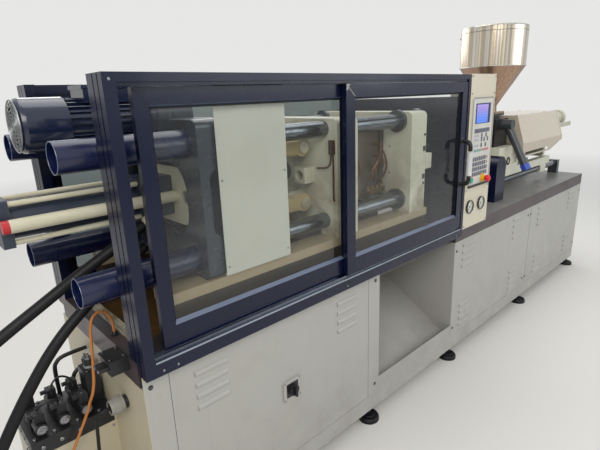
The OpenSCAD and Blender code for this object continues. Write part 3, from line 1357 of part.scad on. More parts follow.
module drive_plate(x) difference() {
    along_x(x, x + drive_plate_t) translate([-drive_plate_half, carriage_z])
        soft_rect([2 * drive_plate_half, cover_top - sheet_t - 2 - carriage_z], 24);
    at_cylinders() rod_x(inj_cyl_r - 1, x - 1, x + drive_plate_t + 1);
    translate([0, 0, axis_z]) rod_x(hub_r + 6, x - 1, x + drive_plate_t + 1);
}
module injection_drive() color(pale) in_frame() translate([0, axis_y, 0]) {
    drive_plate(front_drive_x);
    drive_plate(back_drive_x);
    // Twin injection cylinders
    at_cylinders() {
        rod_x(inj_cyl_r, front_drive_x, inj_cyl_end - 30);
        rod_x(inj_cyl_r + 14, inj_cyl_end - 60, inj_cyl_end - 8);
        rod_x(inj_cyl_r - 12, inj_cyl_end - 30, inj_cyl_end);
    }
    // Transducer bracket
    translate([0, -drive_plate_half - 56, axis_z - 20]) difference() {
        union() {
            block([back_drive_x + 1, 0, 0], [drive_end, 8, 40]);
            block([back_drive_x + 1, 7, 0], [back_drive_x + drive_plate_t, 57, 40]);
        }
        translate([drive_end - 30, 0, 20]) rod_y(9, -1, 9);
    }
}
// The thrust plate slides on the injection cylinders
module screw_drive() color("#55585c") in_frame() translate([0, axis_y, 0]) {
    difference() {
        along_x(thrust_x, thrust_x + thrust_t) translate([-drive_plate_half, axis_z - 140])
            soft_rect([2 * drive_plate_half, 260], 24);
        at_cylinders() rod_x(inj_cyl_r + bar_clear, thrust_x - 1, thrust_x + thrust_t + 1);
    }
    translate([0, 0, axis_z]) {
        rod_x(hub_r, saddle_end, thrust_x + 1);
        rod_x(motor_r2, thrust_x + thrust_t - 1, back_drive_x - inj_stroke - 30);
    }
}
box_x = 2722;
box_w = 149;
box_y = 150;
box_d = 90;
box_h = 325;
module junction_box() color(navy) in_frame() translate([box_x, box_y, base_h])
    along_y(0, box_d) union() {
        square([box_w, box_h - box_w / 2]);
        translate([box_w / 2, box_h - box_w / 2]) circle(box_w / 2);
    }

base_frame();
base_top();
front_panels();
rear_panels();
levelling_feet();
front_guard_frame();
rear_guard_frame();
rear_window();
sheet_guard();
operator_door();
operator_glass();
door_handle();
left_window();
left_glass();
rear_gate();
rear_glass();
control_column();
controller();
start_button();
emergency_stop();
pressure_gauges();
gauge_needle_a();
gauge_needle_b();
isolator_knob();
fixed_platen();
tie_bars();
mould_fixed_half();
tail_platen();
clamp_cylinder();
crosshead_rods();
motor_body();
motor_fan();
moving_platen();
mould_moving_half();
ejector_rod();
crosshead();
upper_rear_link();
lower_rear_link();
upper_front_link();
lower_front_link();
upper_cross_link();
lower_cross_link();
hydraulic_valves();
cylinder_hose();
return_hose();
sensor_cable();
gland_cable();
carriage_rods();
carriage();
feed_housing();
barrel();
heater_bands();
screw();
hopper();
hopper_lid();
drain_pipe();
injection_cover();
injection_drive();
screw_drive();
junction_box();
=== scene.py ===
import bpy
import bmesh
import math
from mathutils import Matrix, Vector


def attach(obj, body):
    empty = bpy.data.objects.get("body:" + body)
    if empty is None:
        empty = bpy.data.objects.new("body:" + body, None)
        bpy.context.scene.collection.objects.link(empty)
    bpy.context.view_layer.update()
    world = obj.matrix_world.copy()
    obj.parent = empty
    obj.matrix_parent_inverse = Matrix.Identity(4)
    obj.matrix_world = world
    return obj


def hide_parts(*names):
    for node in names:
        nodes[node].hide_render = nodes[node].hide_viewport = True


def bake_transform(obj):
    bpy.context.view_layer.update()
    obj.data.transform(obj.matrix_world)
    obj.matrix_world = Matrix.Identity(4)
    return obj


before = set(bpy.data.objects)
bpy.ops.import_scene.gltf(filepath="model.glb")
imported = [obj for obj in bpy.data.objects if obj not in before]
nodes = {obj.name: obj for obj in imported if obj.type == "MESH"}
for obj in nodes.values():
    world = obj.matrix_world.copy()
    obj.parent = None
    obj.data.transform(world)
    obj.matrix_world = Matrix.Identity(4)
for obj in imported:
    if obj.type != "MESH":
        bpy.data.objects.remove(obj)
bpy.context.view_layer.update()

# ---------- places: drawing millimetres of part.scad to metres in the row frame ----------
ROW_X, ROW_Y = 2.0785, 0.433
CLAMP_Y, CLAMP_Z, MOTOR_Z = 416, 1343, 1626
VALVE_Y = 465
FRONT, REAR, UP, RIGHT, LEFT = (0, -1, 0), (0, 1, 0), (0, 0, 1), (1, 0, 0), (-1, 0, 0)


def rx(x):
    return x / 1000 - ROW_X


def ry(y):
    return y / 1000 - ROW_Y


def P(x, y, z):
    return Vector((rx(x), ry(y), z / 1000))


# ---------- camera ----------
cam_data = bpy.data.cameras.new("camera")
cam = bpy.data.objects.new("camera", cam_data)
bpy.context.scene.collection.objects.link(cam)
# focal length, axes and place were solved from the photograph of the machine's parallel edges
cam_data.sensor_width = 36
cam_data.lens = 27.14
cam_data.clip_end = 60
right, up, back = (0.7260, -0.6867, -0.0369), (0.2140, 0.1746, 0.9611), (-0.6535, -0.7057, 0.2737)
place = P(-463, -1220, 1684)
cam.matrix_world = Matrix((
    (right[0], up[0], back[0], place.x),
    (right[1], up[1], back[1], place.y),
    (right[2], up[2], back[2], place.z),
    (0, 0, 0, 1)))
bpy.context.scene.camera = cam
bpy.context.scene.view_settings.view_transform = "Standard"

# ---------- materials ----------
FINE = 0.0001  # depth in metres of the grain in metal and plastic


class Tree:
    """A short way to write the node tree of a material, or of a world."""

    def __init__(self, name, world=False):
        self.owner = (bpy.data.worlds if world else bpy.data.materials).new(name)
        self.owner.use_nodes = True
        self.nt = self.owner.node_tree
        self.nt.nodes.clear()
        self.out = self.nt.nodes.new("ShaderNodeOutput" + ("World" if world else "Material"))
        self.coord = self.nt.nodes.new("ShaderNodeTexCoord").outputs["Object"]

    def put(self, node, key, v):
        """Links a socket to an input, or sets the input's value."""
        if isinstance(v, bpy.types.NodeSocket):
            self.nt.links.new(v, node.inputs[key])
        else:
            node.inputs[key].default_value = v

    def node(self, kind, ins=None, **props):
        n = self.nt.nodes.new("ShaderNode" + kind)
        for k, v in props.items():
            setattr(n, k, v)
        for k, v in (ins or {}).items():
            self.put(n, k, v)
        return n

    def noise(self, scale, detail=4.0, rough=0.55, stretch=None, distortion=0.0):
        vec = self.coord
        if stretch:
            vec = self.node("Mapping", {"Vector": vec, "Scale": stretch}).outputs[0]
        return self.node("TexNoise", {"Vector": vec, "Scale": scale, "Detail": detail, "Roughness": rough,
                                      "Distortion": distortion}).outputs["Fac"]

    def ramp(self, fac, stops):
        n = self.node("ValToRGB", {"Fac": fac})
        el = n.color_ramp.elements
        while len(el) < len(stops):
            el.new(0.5)
        for e, (pos, col) in zip(el, stops):
            e.position = pos
            e.color = (*col, 1)
        return n.outputs[0]

    def level(self, fac, lo, hi, a=0.0, b=1.0):
        """Maps lo to hi onto a to b, and holds the ends."""
        ins = {"Value": fac, "From Min": lo, "From Max": hi, "To Min": a, "To Max": b}
        return self.node("MapRange", ins).outputs[0]

    def mix(self, fac, a, b):
        n = self.node("Mix", data_type="RGBA")
        for key, v in ((0, fac), (6, a), (7, b)):
            self.put(n, key, (*v, 1) if isinstance(v, tuple) else v)
        return n.outputs[2]

    def math(self, op, a, b=0.0):
        n = self.node("Math", operation=op)
        for i, v in enumerate((a, b)):
            self.put(n, i, v)
        return n.outputs[0]

    def both(self, a, b):
        return self.math("MULTIPLY", a, b)

    def axis(self, i):
        """One coordinate of the point, in metres of the row frame."""
        return self.node("SeparateXYZ", {"Vector": self.coord}).outputs[i]

    def above(self, v, edge, soft=0.0004):
        """1 where v is past edge, else 0."""
        return self.level(v, edge - soft, edge + soft)

    def below(self, v, edge):
        return self.math("SUBTRACT", 1.0, self.above(v, edge))

    def within(self, v, lo, hi):
        return self.both(self.above(v, lo), self.below(v, hi))

    def radius(self, i, j, at):
        """Distance from a line that runs along the third axis."""
        a = self.math("SUBTRACT", self.axis(i), at[0])
        b = self.math("SUBTRACT", self.axis(j), at[1])
        return self.math("SQRT", self.math("ADD", self.both(a, a), self.both(b, b)))

    def bump(self, height, dist, strength):
        return self.node("Bump", {"Height": height, "Distance": dist, "Strength": strength}).outputs[0]

    def end(self, shader):
        """Joins a shader to the output and gives back the material or world."""
        self.nt.links.new(shader.outputs[0], self.out.inputs[0])
        return self.owner

    def finish(self, **ins):
        return self.end(self.node("BsdfPrincipled", ins))


def rgb(h):
    """An sRGB colour as it is seen, such as "cfc6b4", in linear light."""
    v = [int(h[i:i + 2], 16) / 255 for i in (0, 2, 4)]
    return tuple(c / 12.92 if c <= 0.04045 else ((c + 0.055) / 1.055) ** 2.4 for c in v)


def shade(c, k):
    """A colour made lighter or darker."""
    return tuple(min(1, v * k) for v in c)


def paint(name, color, rough=0.42, dirt=0.3, dirt_color="5b5244", streaks=0.12, peel=0.00025, low_dirt=0.0,
          chips=0.0, coat=0.0, zones=None, cloud=0.06, spec=0.5):
    """Sprayed machine paint: faint clouds, soft grime, fine drips, orange peel, and chips to metal.
    zones is a function that takes the tree and the colour and paints further fields into it."""
    t = Tree(name)
    c = rgb(color)
    col = t.ramp(t.noise(1.1, 3, 0.5), [(0.3, shade(c, 1 - cloud)), (0.72, shade(c, 1 + cloud))])
    if zones:
        col = zones(t, col)
    grime = t.level(t.noise(5.5, 6, 0.62, distortion=0.4), 0.54, 0.8, 0, dirt)
    col = t.mix(grime, col, rgb(dirt_color))
    drips = t.level(t.noise(5, 4, 0.55, stretch=(11, 11, 0.5)), 0.56, 0.82, 0, streaks)
    col = t.mix(drips, col, rgb(dirt_color))
    specks = t.level(t.noise(95, 2, 0.5), 0.7, 0.76, 0, dirt * 0.6)
    col = t.mix(specks, col, shade(rgb(dirt_color), 0.6))
    if low_dirt:
        band = t.both(t.level(t.axis(2), 0.55, 0.08, 0, 1), t.level(t.noise(7, 6, 0.65), 0.35, 0.8, 0, low_dirt))
        col = t.mix(band, col, rgb("5a5142"))
    r = t.level(t.noise(11, 5, 0.55), 0.3, 0.8, rough - 0.03, rough + 0.07)
    if chips:
        spot = t.level(t.noise(24, 8, 0.7), 0.715, 0.73, 0, chips)
        col = t.mix(spot, col, rgb("6f6a63"))
    n = t.bump(t.noise(420, 2, 0.5), peel, 0.5)
    return t.finish(**{"Base Color": col, "Roughness": r, "Coat Weight": coat, "Coat Roughness": 0.08,
                       "Specular IOR Level": spec, "Normal": n})


def metal(name, color, rough=0.3, grain=(1, 1, 1), var=0.12, dirt=0.0, dirt_color="2b231a"):
    """Bare metal with grain along an axis, cloudy polish and a film of dirt or oil."""
    t = Tree(name)
    c = rgb(color)
    lines = t.noise(60, 5, 0.65, stretch=grain)
    cloud = t.noise(5, 6, 0.6)
    col = t.ramp(cloud, [(0.3, shade(c, 1 - var)), (0.7, shade(c, 1 + var))])
    col = t.mix(t.level(lines, 0.35, 0.75, 0, 0.25), col, shade(c, 0.72))
    m = 1.0
    r = t.level(lines, 0.25, 0.8, max(0.03, rough - 0.1), rough + 0.12)
    if dirt:
        spot = t.level(t.noise(9, 8, 0.7, distortion=0.8), 0.45, 0.72, 0, dirt)
        col = t.mix(spot, col, rgb(dirt_color))
        m = t.level(spot, 0, 1, 1, 0.2)
        r = t.math("ADD", r, t.both(spot, 0.3))
    n = t.bump(lines, FINE, 0.6)
    return t.finish(**{"Base Color": col, "Roughness": r, "Metallic": m, "Normal": n})


def plastic(name, color, rough=0.4, var=0.08, wear=0.1, spec=0.35):
    """Moulded plastic, rubber or film, with faint clouds and pale wear."""
    t = Tree(name)
    c = rgb(color)
    col = t.ramp(t.noise(7, 6, 0.6), [(0.3, shade(c, 1 - var)), (0.72, shade(c, 1 + var))])
    col = t.mix(t.level(t.noise(30, 7, 0.7), 0.6, 0.75, 0, wear), col, rgb("8b8679"))
    r = t.level(t.noise(16, 5, 0.6), 0.3, 0.8, rough - 0.06, rough + 0.12)
    n = t.bump(t.noise(250, 2, 0.5), FINE, 0.5)
    return t.finish(**{"Base Color": col, "Roughness": r, "Specular IOR Level": spec, "Normal": n})


def pane(name, clear, milk, haze):
    """A thin smoky sheet: it lets light through, mirrors the room a little and carries a thin film of dust."""
    t = Tree(name)
    film = t.level(t.noise(1.9, 3, 0.5, distortion=0.3), 0.35, 0.75, milk, milk + haze)
    wipes = t.level(t.noise(2.5, 4, 0.5, stretch=(1.2, 1, 5), distortion=1.2), 0.6, 0.8, 0, haze * 0.8)
    dust = t.math("ADD", film, wipes)
    body = t.node("BsdfDiffuse", {"Color": (*rgb("a9ada3"), 1)})
    see = t.node("BsdfTransparent", {"Color": (*clear, 1)})
    gloss = t.node("BsdfGlossy", {"Color": (1, 1, 1, 1), "Roughness": 0.11})
    front = t.math("SUBTRACT", 1.0, t.node("NewGeometry").outputs["Backfacing"])
    edge = t.both(t.node("Fresnel", {"IOR": 1.45}).outputs[0], front)
    clean = t.node("MixShader", {0: edge, 1: see.outputs[0], 2: gloss.outputs[0]})
    return t.end(t.node("MixShader", {0: dust, 1: clean.outputs[0], 2: body.outputs[0]}))


AXIS = (ry(CLAMP_Y), CLAMP_Z / 1000)


def table_zones(t, col):
    """The grey worktop of the injection end, the oily pan and the worn slide rails under the clamp."""
    x, y, z = t.axis(0), t.axis(1), t.axis(2)
    right = t.above(x, rx(1967))
    col = t.mix(t.both(right, t.above(z, 0.8925)), col, rgb("6c6b69"))
    left = t.math("SUBTRACT", 1.0, right)
    inside = t.both(t.within(y, ry(182), ry(650)), t.above(x, rx(59.7)))
    pan = t.both(t.both(left, inside), t.within(z, 0.80, 0.8915))
    oil = t.ramp(t.noise(4, 4, 0.6), [(0.3, rgb("2f2216")), (0.7, rgb("7b5a2c"))])
    col = t.mix(pan, col, oil)
    rails = t.both(left, t.above(z, 0.8945))
    col = t.mix(rails, col, rgb("332a25"))
    lip = t.both(left, t.above(z, 1.0345))
    return t.mix(lip, col, rgb("9a8b72"))


def cylinder_zones(t, col):
    """Dark heads and barrel between cream rods, and the red cap of the transducer."""
    x = t.axis(0)
    core = t.below(t.radius(1, 2, AXIS), 0.0655)
    heads = t.below(x, rx(-202))
    back_head = t.within(x, rx(204), rx(333.5))
    dark = t.math("MAXIMUM", core, t.math("MAXIMUM", heads, back_head))
    tube = t.below(t.radius(1, 2, (ry(316), AXIS[1])), 0.0222)
    col = t.mix(t.both(dark, t.math("SUBTRACT", 1.0, tube)), col, rgb("2b3444"))
    red = t.both(tube, t.below(x, rx(-214)))
    return t.mix(red, col, rgb("b3282c"))


def end_warm_light_zones(t, col):
    """The clamp end of the base and the valve box are tinted warmer than the long sides: painted warm light, where
    the warm key lamp falls on that end.
    """
    end = t.below(t.axis(0), rx(1.5))
    # painted warm light, mottled by noise
    warm = t.level(t.noise(3, 5, 0.6), 0.25, 0.75, 0.5, 1.0)
    return t.mix(t.both(end, warm), col, rgb("b9ae92"))


def oil_zones(t, col):
    """Brown oil film low on the clamp unit's cream castings."""
    left = t.below(t.axis(0), rx(1900))
    low = t.level(t.axis(2), 1.45, 1.12, 0.12, 1)
    film = t.both(t.both(left, low), t.level(t.noise(5, 6, 0.65, distortion=0.6), 0.36, 0.6, 0, 0.75))
    return t.mix(film, col, rgb("6a5232"))


def tail_zones(t, col):
    """The tube covers are navy, the casting behind them is a worn grey blue."""
    return t.mix(t.above(t.axis(0), rx(298.5)), col, rgb("252d3a"))


def motor_zones(t, col):
    """The dark inside of the fan cowl, behind the wire grille."""
    grille = t.both(t.below(t.axis(0), rx(-123.5)), t.below(t.radius(1, 2, (AXIS[0], MOTOR_Z / 1000)), 0.078))
    return t.mix(grille, col, rgb("24272c"))


def pipe_zones(t, col):
    """A blue cap on the lower end of the drain pipe."""
    tilt = math.radians(27.5)
    along = t.math("ADD", t.both(t.math("SUBTRACT", t.axis(1), ry(262)), math.sin(tilt)),
                   t.both(t.math("SUBTRACT", t.axis(2), 1.416), math.cos(tilt)))
    return t.mix(t.below(along, -0.327), col, rgb("1f3fa4"))


# The base's cream is a shaded copy of the column's paint: darker and greyer, as painted shade for the base front
# that lies in shadow.
SHADED_CREAM = paint("cabinet_paint_shaded", "a2a19c", rough=0.4, dirt=0.14, streaks=0.07, low_dirt=0.35, zones=end_warm_light_zones,
              cloud=0.035)
COLUMN = paint("column_paint", "c9c1ae", rough=0.36, dirt=0.14, streaks=0.05, cloud=0.03)
CREAM_CLEAN = paint("machine_paint", "cccbba", rough=0.36, dirt=0.35, dirt_color="83704c", zones=oil_zones,
                    cloud=0.04)
COVER = paint("cover_paint", "bbb1a0", rough=0.24, peel=0.00001, dirt=0.03, streaks=0.015, coat=0.35, cloud=0.015)
PALE = paint("pale_green_paint", "babab1", rough=0.3, dirt=0.08, streaks=0.05, coat=0.2, cloud=0.03)
NAVY = paint("navy_paint", "080f2a", rough=0.27, dirt=0.04, dirt_color="1c2338", streaks=0.04, chips=0.5, coat=0.14,
             spec=0.3)
TAIL = paint("tail_platen_paint", "0d173c", rough=0.26, dirt=0.12, dirt_color="20242b", coat=0.25, zones=tail_zones)
MOTOR = paint("motor_paint", "131d36", rough=0.22, dirt=0.1, dirt_color="20242b", coat=0.5, zones=motor_zones)
CYLINDER = paint("cylinder_paint", "c9c4ad", rough=0.34, dirt=0.2, dirt_color="3c3a36", zones=cylinder_zones)
BROWN = paint("brown_paint", "42373a", rough=0.36, dirt=0.35, dirt_color="241c1a", chips=0.8, zones=table_zones)
LINKS = paint("link_paint", "b9a77c", rough=0.34, dirt=0.5, dirt_color="3a2f20", chips=0.6)
GREYISH = paint("drive_paint", "b9b9a6", dirt=0.35)
RUBBER = plastic("black_rubber", "131417", rough=0.5, wear=0.04, spec=0.25)
BLACK = plastic("black_plastic", "1d1e20", rough=0.36, wear=0.05)
GREY_GRIP = plastic("grey_grip", "c9cacb", rough=0.42, wear=0.04)
PANEL_FILM = plastic("controller_film", "c3c2bb", rough=0.32, wear=0.03)
FRAME_GREY = plastic("controller_frame", "8b8c87", rough=0.35, wear=0.05)
GREEN = plastic("green_button", "1f9a74", rough=0.25, wear=0.0)
RED = plastic("red_button", "cf2433", rough=0.22, wear=0.0)
YELLOW = plastic("yellow_collar", "dba21f", rough=0.35, wear=0.0)
ORANGE = plastic("orange_sheath", "b0713a", rough=0.5)
KEY_DARK = plastic("key_dark", "2d3350", rough=0.4, wear=0.0)
KEY_PALE = plastic("key_pale", "a9adbb", rough=0.4, wear=0.0)
KEY_TEAL = plastic("key_teal", "3a8d84", rough=0.4, wear=0.0)
KEY_RED = plastic("key_red", "bb4a4a", rough=0.4, wear=0.0)
DIAL = plastic("dial_white", "d8d6cc", rough=0.35, var=0.03, wear=0.02)
GLAND = plastic("gland_grey", "86867f", rough=0.45, wear=0.12)
CONNECTOR = plastic("connector_grey", "232427", rough=0.5, wear=0.1)
CHROME = metal("chrome", "c9cbcc", rough=0.12, grain=(0.3, 6, 6), var=0.05)
BAR = metal("tie_bar_chrome", "6f757c", rough=0.2, grain=(0.2, 5, 5), var=0.12, dirt=0.35)
STEEL = metal("machined_steel", "94969a", rough=0.3, grain=(0.5, 5, 5), dirt=0.25)
ALU = metal("aluminium_strip", "a3abb8", rough=0.3, grain=(0.2, 5, 5), var=0.08)
BRASS = metal("brass", "9a7a45", rough=0.3, grain=(3, 3, 3), dirt=0.3)
COPPER = metal("copper_pipe", "6f4c38", rough=0.36, grain=(3, 3, 3), var=0.2, dirt=0.4)
DARK = metal("oiled_dark_steel", "4a4a4b", rough=0.34, var=0.2, dirt=0.5)
MOULD = metal("mould_steel", "6f675d", rough=0.4, var=0.2, dirt=0.5, dirt_color="4f3a26")
IRON = paint("black_iron", "1c1d20", rough=0.34, dirt=0.2, dirt_color="3c3830", spec=0.4)
RIM = metal("dark_bezel", "4d4b45", rough=0.25, grain=(3, 3, 3), var=0.1)
PIPE = paint("drain_pipe_paint", "33363b", rough=0.34, dirt=0.15, dirt_color="55524b", zones=pipe_zones)
BAND = metal("heater_steel", "9a948a", rough=0.4, grain=(4, 1, 1), dirt=0.5, dirt_color="5d4a34")
BARREL = metal("heated_steel", "6e6259", rough=0.42, var=0.25, dirt=0.5)
GLASS = pane("guard_glass", (0.93, 0.94, 0.93), 0.004, 0.022)
# The rear panes pass far less light than the front ones: partly their smoke, partly a painted darkness for the
# unlit room behind the machine.
SHADED_REAR_GLASS = pane("rear_guard_glass", (0.42, 0.46, 0.46), 0.006, 0.02)
LENS = pane("gauge_lens", (0.95, 0.96, 0.955), 0.004, 0.01)


def hopper_steel():
    """Rolled stainless sheet with painted reflections: tall soft bands of warm and cool colour for the mirrored
    room, and a painted brown reflection that makes the cone darker and browner.
    """
    t = Tree("hopper_stainless")
    # painted reflections: tall bands of pale and warm colour stand in for the room mirrored in the polish
    bands = t.noise(3.4, 3, 0.6, stretch=(6, 6, 0.02))
    col = t.ramp(bands, [(0.28, rgb("8f8b86")), (0.42, rgb("d9d2c6")), (0.52, rgb("a69c8f")), (0.6, rgb("efdfc0")),
                         (0.7, rgb("9c9894")), (0.8, rgb("e6d7b6"))])
    # painted reflection: a brown tint on the cone for brown things mirrored in it
    cone = t.below(t.axis(2), 1.8385)
    col = t.mix(t.both(cone, 0.75), col, rgb("a37a60"))
    fine = t.noise(90, 4, 0.6, stretch=(1, 1, 0.03))
    col = t.mix(t.level(fine, 0.4, 0.75, 0, 0.2), col, rgb("7e7a74"))
    r = t.level(fine, 0.3, 0.8, 0.14, 0.3)
    n = t.bump(t.noise(7, 2, 0.4, stretch=(1, 1, 0.3)), 0.0015, 0.5)
    return t.finish(**{"Base Color": col, "Roughness": r, "Metallic": 0.85, "Normal": n})


def lit_screen():
    """The screen's backlight: violet at the top, blue at the bottom, with faint rows of fields."""
    t = Tree("lit_screen")
    z = t.axis(2)
    col = t.ramp(t.level(z, 1.4995, 1.602), [(0.0, rgb("3f7ff0")), (0.35, rgb("5d86ea")), (0.75, rgb("9a86d8")),
                                             (1.0, rgb("a894dc"))])
    rows = t.node("TexWave", {"Vector": t.coord, "Scale": 22.0, "Distortion": 0.0}, bands_direction="Z").outputs[1]
    col = t.mix(t.level(rows, 0.7, 0.8, 0, 0.12), col, rgb("c9d4f6"))
    return t.finish(**{"Base Color": (0.02, 0.02, 0.05, 1), "Roughness": 0.25, "Emission Color": col,
                       "Emission Strength": 0.95})


HOPPER = hopper_steel()
SCREEN = lit_screen()
BEZEL = plastic("screen_bezel", "26305f", rough=0.2, wear=0.0)

LOOKS = {
    "base_frame": SHADED_CREAM, "base_top": BROWN, "front_panels": SHADED_CREAM, "rear_panels": SHADED_CREAM, "levelling_feet": RUBBER,
    "front_guard_frame": NAVY, "rear_guard_frame": NAVY, "rear_window": SHADED_REAR_GLASS, "sheet_guard": PALE,
    "operator_door": NAVY, "operator_glass": GLASS, "door_handle": BLACK, "left_window": NAVY, "left_glass": GLASS,
    "rear_gate": NAVY, "rear_glass": SHADED_REAR_GLASS, "control_column": COLUMN, "controller": PANEL_FILM,
    "start_button": GREEN, "emergency_stop": RED, "pressure_gauges": RIM, "gauge_needle_a": BLACK,
    "gauge_needle_b": BLACK, "isolator_knob": BLACK, "fixed_platen": CREAM_CLEAN, "tie_bars": BAR,
    "mould_fixed_half": MOULD, "tail_platen": TAIL, "clamp_cylinder": CYLINDER, "crosshead_rods": BAR,
    "motor_body": MOTOR, "motor_fan": BLACK, "moving_platen": CREAM_CLEAN, "mould_moving_half": MOULD,
    "ejector_rod": STEEL, "crosshead": STEEL, "upper_rear_link": LINKS, "lower_rear_link": LINKS,
    "upper_front_link": LINKS, "lower_front_link": LINKS, "upper_cross_link": DARK, "lower_cross_link": DARK,
    "hydraulic_valves": IRON, "cylinder_hose": RUBBER, "return_hose": RUBBER, "sensor_cable": ORANGE,
    "gland_cable": RUBBER, "carriage_rods": BAR, "carriage": CREAM_CLEAN, "feed_housing": IRON, "barrel": BARREL,
    "heater_bands": BAND, "screw": STEEL, "hopper": HOPPER, "hopper_lid": HOPPER, "drain_pipe": PIPE,
    "injection_cover": COVER, "injection_drive": GREYISH, "screw_drive": DARK, "junction_box": NAVY,
}
for name, look in LOOKS.items():
    o = nodes[name]
    o.data.materials.clear()
    o.data.materials.append(look)

# ---------- floor, world and lamps ----------
SKY = (0.80, 0.80, 0.79)
bm = bmesh.new()
bmesh.ops.create_grid(bm, x_segments=1, y_segments=1, size=40)
me = bpy.data.meshes.new("floor")
bm.to_mesh(me)
bm.free()
floor = bpy.data.objects.new("floor", me)
bpy.context.scene.collection.objects.link(floor)
t = Tree("floor_pale")
base = t.mix(t.noise(2.2, 5), shade(rgb("dad8d3"), 0.98), rgb("dad8d3"))
near = t.node("BsdfPrincipled", {"Base Color": base, "Roughness": 0.6, "Specular IOR Level": 0.25})
far = t.node("Emission", {"Color": (*SKY, 1), "Strength": 1.0})
away = t.level(t.radius(0, 1, (0.0, 0.0)), 4.0, 11.0)
seen = t.node("LightPath").outputs["Is Camera Ray"]
blend = t.node("MixShader", {0: t.both(away, seen), 1: near.outputs[0], 2: far.outputs[0]})
me.materials.append(t.end(blend))

# The world looks pale to the camera and in mirrors, and lights the part more softly and a little cooler.
w = Tree("studio", world=True)
ray = w.node("LightPath").outputs
looks = w.math("MAXIMUM", ray["Is Camera Ray"], ray["Is Glossy Ray"])
looks = w.math("MAXIMUM", looks, ray["Is Transmission Ray"])
bg_light = w.node("Background", {0: (0.93, 0.96, 1.0, 1), 1: 0.5})
bg_seen = w.node("Background", {0: (*SKY, 1)})
bpy.context.scene.world = w.end(w.node("MixShader", {0: looks, 1: bg_light.outputs[0], 2: bg_seen.outputs[0]}))


def lamp(name, at, aim, size, power, color=(1, 1, 1)):
    data = bpy.data.lights.new(name, "AREA")
    data.shape = "RECTANGLE"
    data.size, data.size_y = size
    data.energy = power
    data.color = color
    o = bpy.data.objects.new(name, data)
    bpy.context.scene.collection.objects.link(o)
    o.location = at
    o.rotation_euler = (Vector(aim) - Vector(at)).to_track_quat("-Z", "Y").to_euler()


lamp("key", (-4.5, -4.2, 4.6), (-0.6, 0, 1.0), (4.5, 3), 240, (1, 0.96, 0.90))
lamp("fill", (3.2, -5.5, 3.2), (0.8, 0, 0.9), (5, 3), 112, (0.92, 0.96, 1))
lamp("top", (0.5, 0.8, 6.0), (0.2, 0, 0.8), (6, 4), 150)
lamp("back", (1.5, 5.0, 3.6), (0.5, 0, 1.1), (5, 3), 95)


